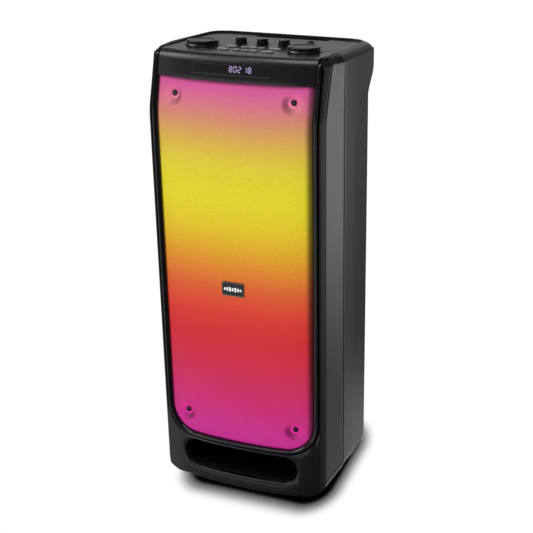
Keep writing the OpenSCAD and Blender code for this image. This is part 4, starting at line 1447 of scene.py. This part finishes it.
# ------------------------------------------------------------------ floor, lights, surroundings
fl = bpy.data.meshes.new("floor")
fl.from_pydata([(-25, -25, 0), (25, -25, 0), (25, 25, 0), (-25, 25, 0)], [], [(0, 1, 2, 3)])
floor = bpy.data.objects.new("floor", fl)
bpy.context.scene.collection.objects.link(floor)
fm = bpy.data.materials.new("floor_white")
fm.use_nodes = True
fn = fm.node_tree
for nd in list(fn.nodes):
    fn.nodes.remove(nd)
fo = fn.nodes.new("ShaderNodeOutputMaterial")
fe = fn.nodes.new("ShaderNodeEmission")
fn.links.new(fe.outputs[0], fo.inputs[0])
ft = fn.nodes.new("ShaderNodeTexCoord")
fs = fn.nodes.new("ShaderNodeSeparateXYZ")
fn.links.new(ft.outputs["Object"], fs.inputs[0])


def fmath(op, a, b=None):
    nd = fn.nodes.new("ShaderNodeMath")
    nd.operation = op
    for i, v_ in enumerate((a, b)):
        if v_ is None:
            continue
        if isinstance(v_, (int, float)):
            nd.inputs[i].default_value = v_
        else:
            fn.links.new(v_, nd.inputs[i])
    return nd.outputs[0]


def beyond(sock, centre, half):
    """How far past a band a coordinate is, never below zero."""
    return fmath("MAXIMUM", fmath("SUBTRACT", fmath("ABSOLUTE", fmath("SUBTRACT", sock, centre)), half), 0.0)


# painted shadow on the floor close to the body, a little longer towards the viewer
sx_ = fmath("DIVIDE", beyond(fs.outputs["X"], 0.021, 0.092), 0.62)
sy_ = beyond(fs.outputs["Y"], -0.015, 0.068)
dist = fmath("MAXIMUM", fmath("SUBTRACT", fmath("SQRT", fmath("ADD", fmath("MULTIPLY", sx_, sx_), fmath("MULTIPLY", sy_, sy_))), 0.062), 0.0)
fr = fn.nodes.new("ShaderNodeValToRGB")
fn.links.new(fmath("DIVIDE", dist, 0.066), fr.inputs["Fac"])
STOPS = [(0.0, 0.0), (0.10, 0.008), (0.18, 0.085), (0.26, 0.156), (0.34, 0.246), (0.415, 0.332), (0.49, 0.468), (0.57, 0.61), (0.645, 0.738), (0.72, 0.847), (0.80, 0.922), (0.88, 0.973), (0.96, 1.0)]
for i, (p, v_) in enumerate(STOPS):
    e_ = fr.color_ramp.elements[i] if i < 2 else fr.color_ramp.elements.new(p)
    e_.position = p
    e_.color = (v_, v_, v_, 1)
fn.links.new(fr.outputs[0], fe.inputs["Color"])
fe.inputs["Strength"].default_value = 1.02
fl.materials.append(fm)
floor.visible_glossy = False

world = bpy.data.worlds.new("studio")
bpy.context.scene.world = world
world.use_nodes = True
wn = world.node_tree
for nd in list(wn.nodes):
    wn.nodes.remove(nd)
wo = wn.nodes.new("ShaderNodeOutputWorld")
wb = wn.nodes.new("ShaderNodeBackground")
wn.links.new(wb.outputs[0], wo.inputs[0])
tcw = wn.nodes.new("ShaderNodeTexCoord")
spw = wn.nodes.new("ShaderNodeSeparateXYZ")
wn.links.new(tcw.outputs["Generated"], spw.inputs[0])


def wmath(op, a, b=None, c=None):
    nd = wn.nodes.new("ShaderNodeMath")
    nd.operation = op
    for i, v_ in enumerate((a, b, c)):
        if v_ is None:
            continue
        if isinstance(v_, (int, float)):
            nd.inputs[i].default_value = v_
        else:
            wn.links.new(v_, nd.inputs[i])
    return nd.outputs[0]


def wstep(v_, lo, hi):
    nd = wn.nodes.new("ShaderNodeMapRange")
    nd.interpolation_type = "SMOOTHSTEP"
    nd.inputs["From Min"].default_value = lo
    nd.inputs["From Max"].default_value = hi
    wn.links.new(v_, nd.inputs["Value"])
    return nd.outputs[0]


azim = wmath("MULTIPLY", wmath("ARCTAN2", spw.outputs["Y"], spw.outputs["X"]), 180 / math.pi)  # 0 along +X, 90 along +Y
elev = wmath("MULTIPLY", wmath("ARCSINE", spw.outputs["Z"]), 180 / math.pi)


def panel(a0, a1, e0, e1, soft_a, soft_e, k):
    """A soft-edged bright card in the surroundings, by direction in degrees."""
    p = wmath("MULTIPLY", wstep(azim, a0 - soft_a, a0 + soft_a), wmath("SUBTRACT", 1.0, wstep(azim, a1 - soft_a, a1 + soft_a)))
    q = wmath("MULTIPLY", wstep(elev, e0 - soft_e, e0 + soft_e), wmath("SUBTRACT", 1.0, wstep(elev, e1 - soft_e, e1 + soft_e)))
    return wmath("MULTIPLY", wmath("MULTIPLY", p, q), k)


BASE = 0.025
total = wmath("ADD", BASE, 0.0)
for args in ((38, 67, -22, -4, 2.5, 5, 1.45),       # tall card at the right rear, fading downwards: the side facet
             (36, 67, -28, -20, 2.5, 2.5, 0.55),
             (36, 67, -60, -31.2, 2.5, 1.5, 0.33),
             (68, 150, -60, -29.8, 2, 2.0, 0.46),       # low card behind it: the rear side above the foot
             (67, 150, -19, -2, 2, 4, 0.05),
             (-6, 26, -24, -4, 5, 5, 0.92),         # right: the strip beside the ring
             (-6, 26, -32, -22, 5, 5, 0.24),
             (-180, -142, -60, 22, 6, 6, 0.46),     # left: the left front corner
             (164, 181, -60, 22, 4, 6, 0.46),
             (-140, -86, -30, 2, 12, 7, 0.95),      # front: the lower part of the band and the lower front
             (84, 150, -2, 26, 8, 6, 0.42),         # rear, low: the deck
             (-181, -148, 28, 58, 5, 6, 4.0),       # left, high: the roll of the band at its left end
             (170, 181, 28, 58, 5, 6, 4.0),
             (-146, -122, 30, 66, 8, 6, 1.4),
             (-180, 180, 70, 91, 1, 6, 3.4)):       # overhead: edges that face up
    total = wmath("ADD", total, panel(*args))
lp = wn.nodes.new("ShaderNodeLightPath")
total = wmath("MAXIMUM", total, lp.outputs["Is Camera Ray"])
cmbw = wn.nodes.new("ShaderNodeCombineXYZ")
for i in range(3):
    wn.links.new(total, cmbw.inputs[i])
wn.links.new(cmbw.outputs[0], wb.inputs["Color"])
wb.inputs["Strength"].default_value = 1.0


def area(name, loc, target, size, power, size_y=None, glossy=True):
    d = bpy.data.lights.new(name, "AREA")
    d.energy = power
    d.shape = "RECTANGLE" if size_y else "SQUARE"
    d.size = size
    if size_y:
        d.size_y = size_y
    o = bpy.data.objects.new(name, d)
    bpy.context.scene.collection.objects.link(o)
    o.location = loc
    o.rotation_euler = (Vector(target) - Vector(loc)).to_track_quat("-Z", "Y").to_euler()
    o.visible_glossy = glossy
    return o


area("key_top", (0.3, -0.4, 3.6), (0, 0, 0), 4.0, 190, glossy=False)
area("key_front", (-1.8, -3.0, 2.2), (0, 0, 0.4), 1.6, 26, glossy=False)

sc = bpy.context.scene
sc.view_settings.view_transform = "Standard"
sc.view_settings.look = "None"
sc.view_settings.exposure = 0.0
sc.view_settings.gamma = 1.0
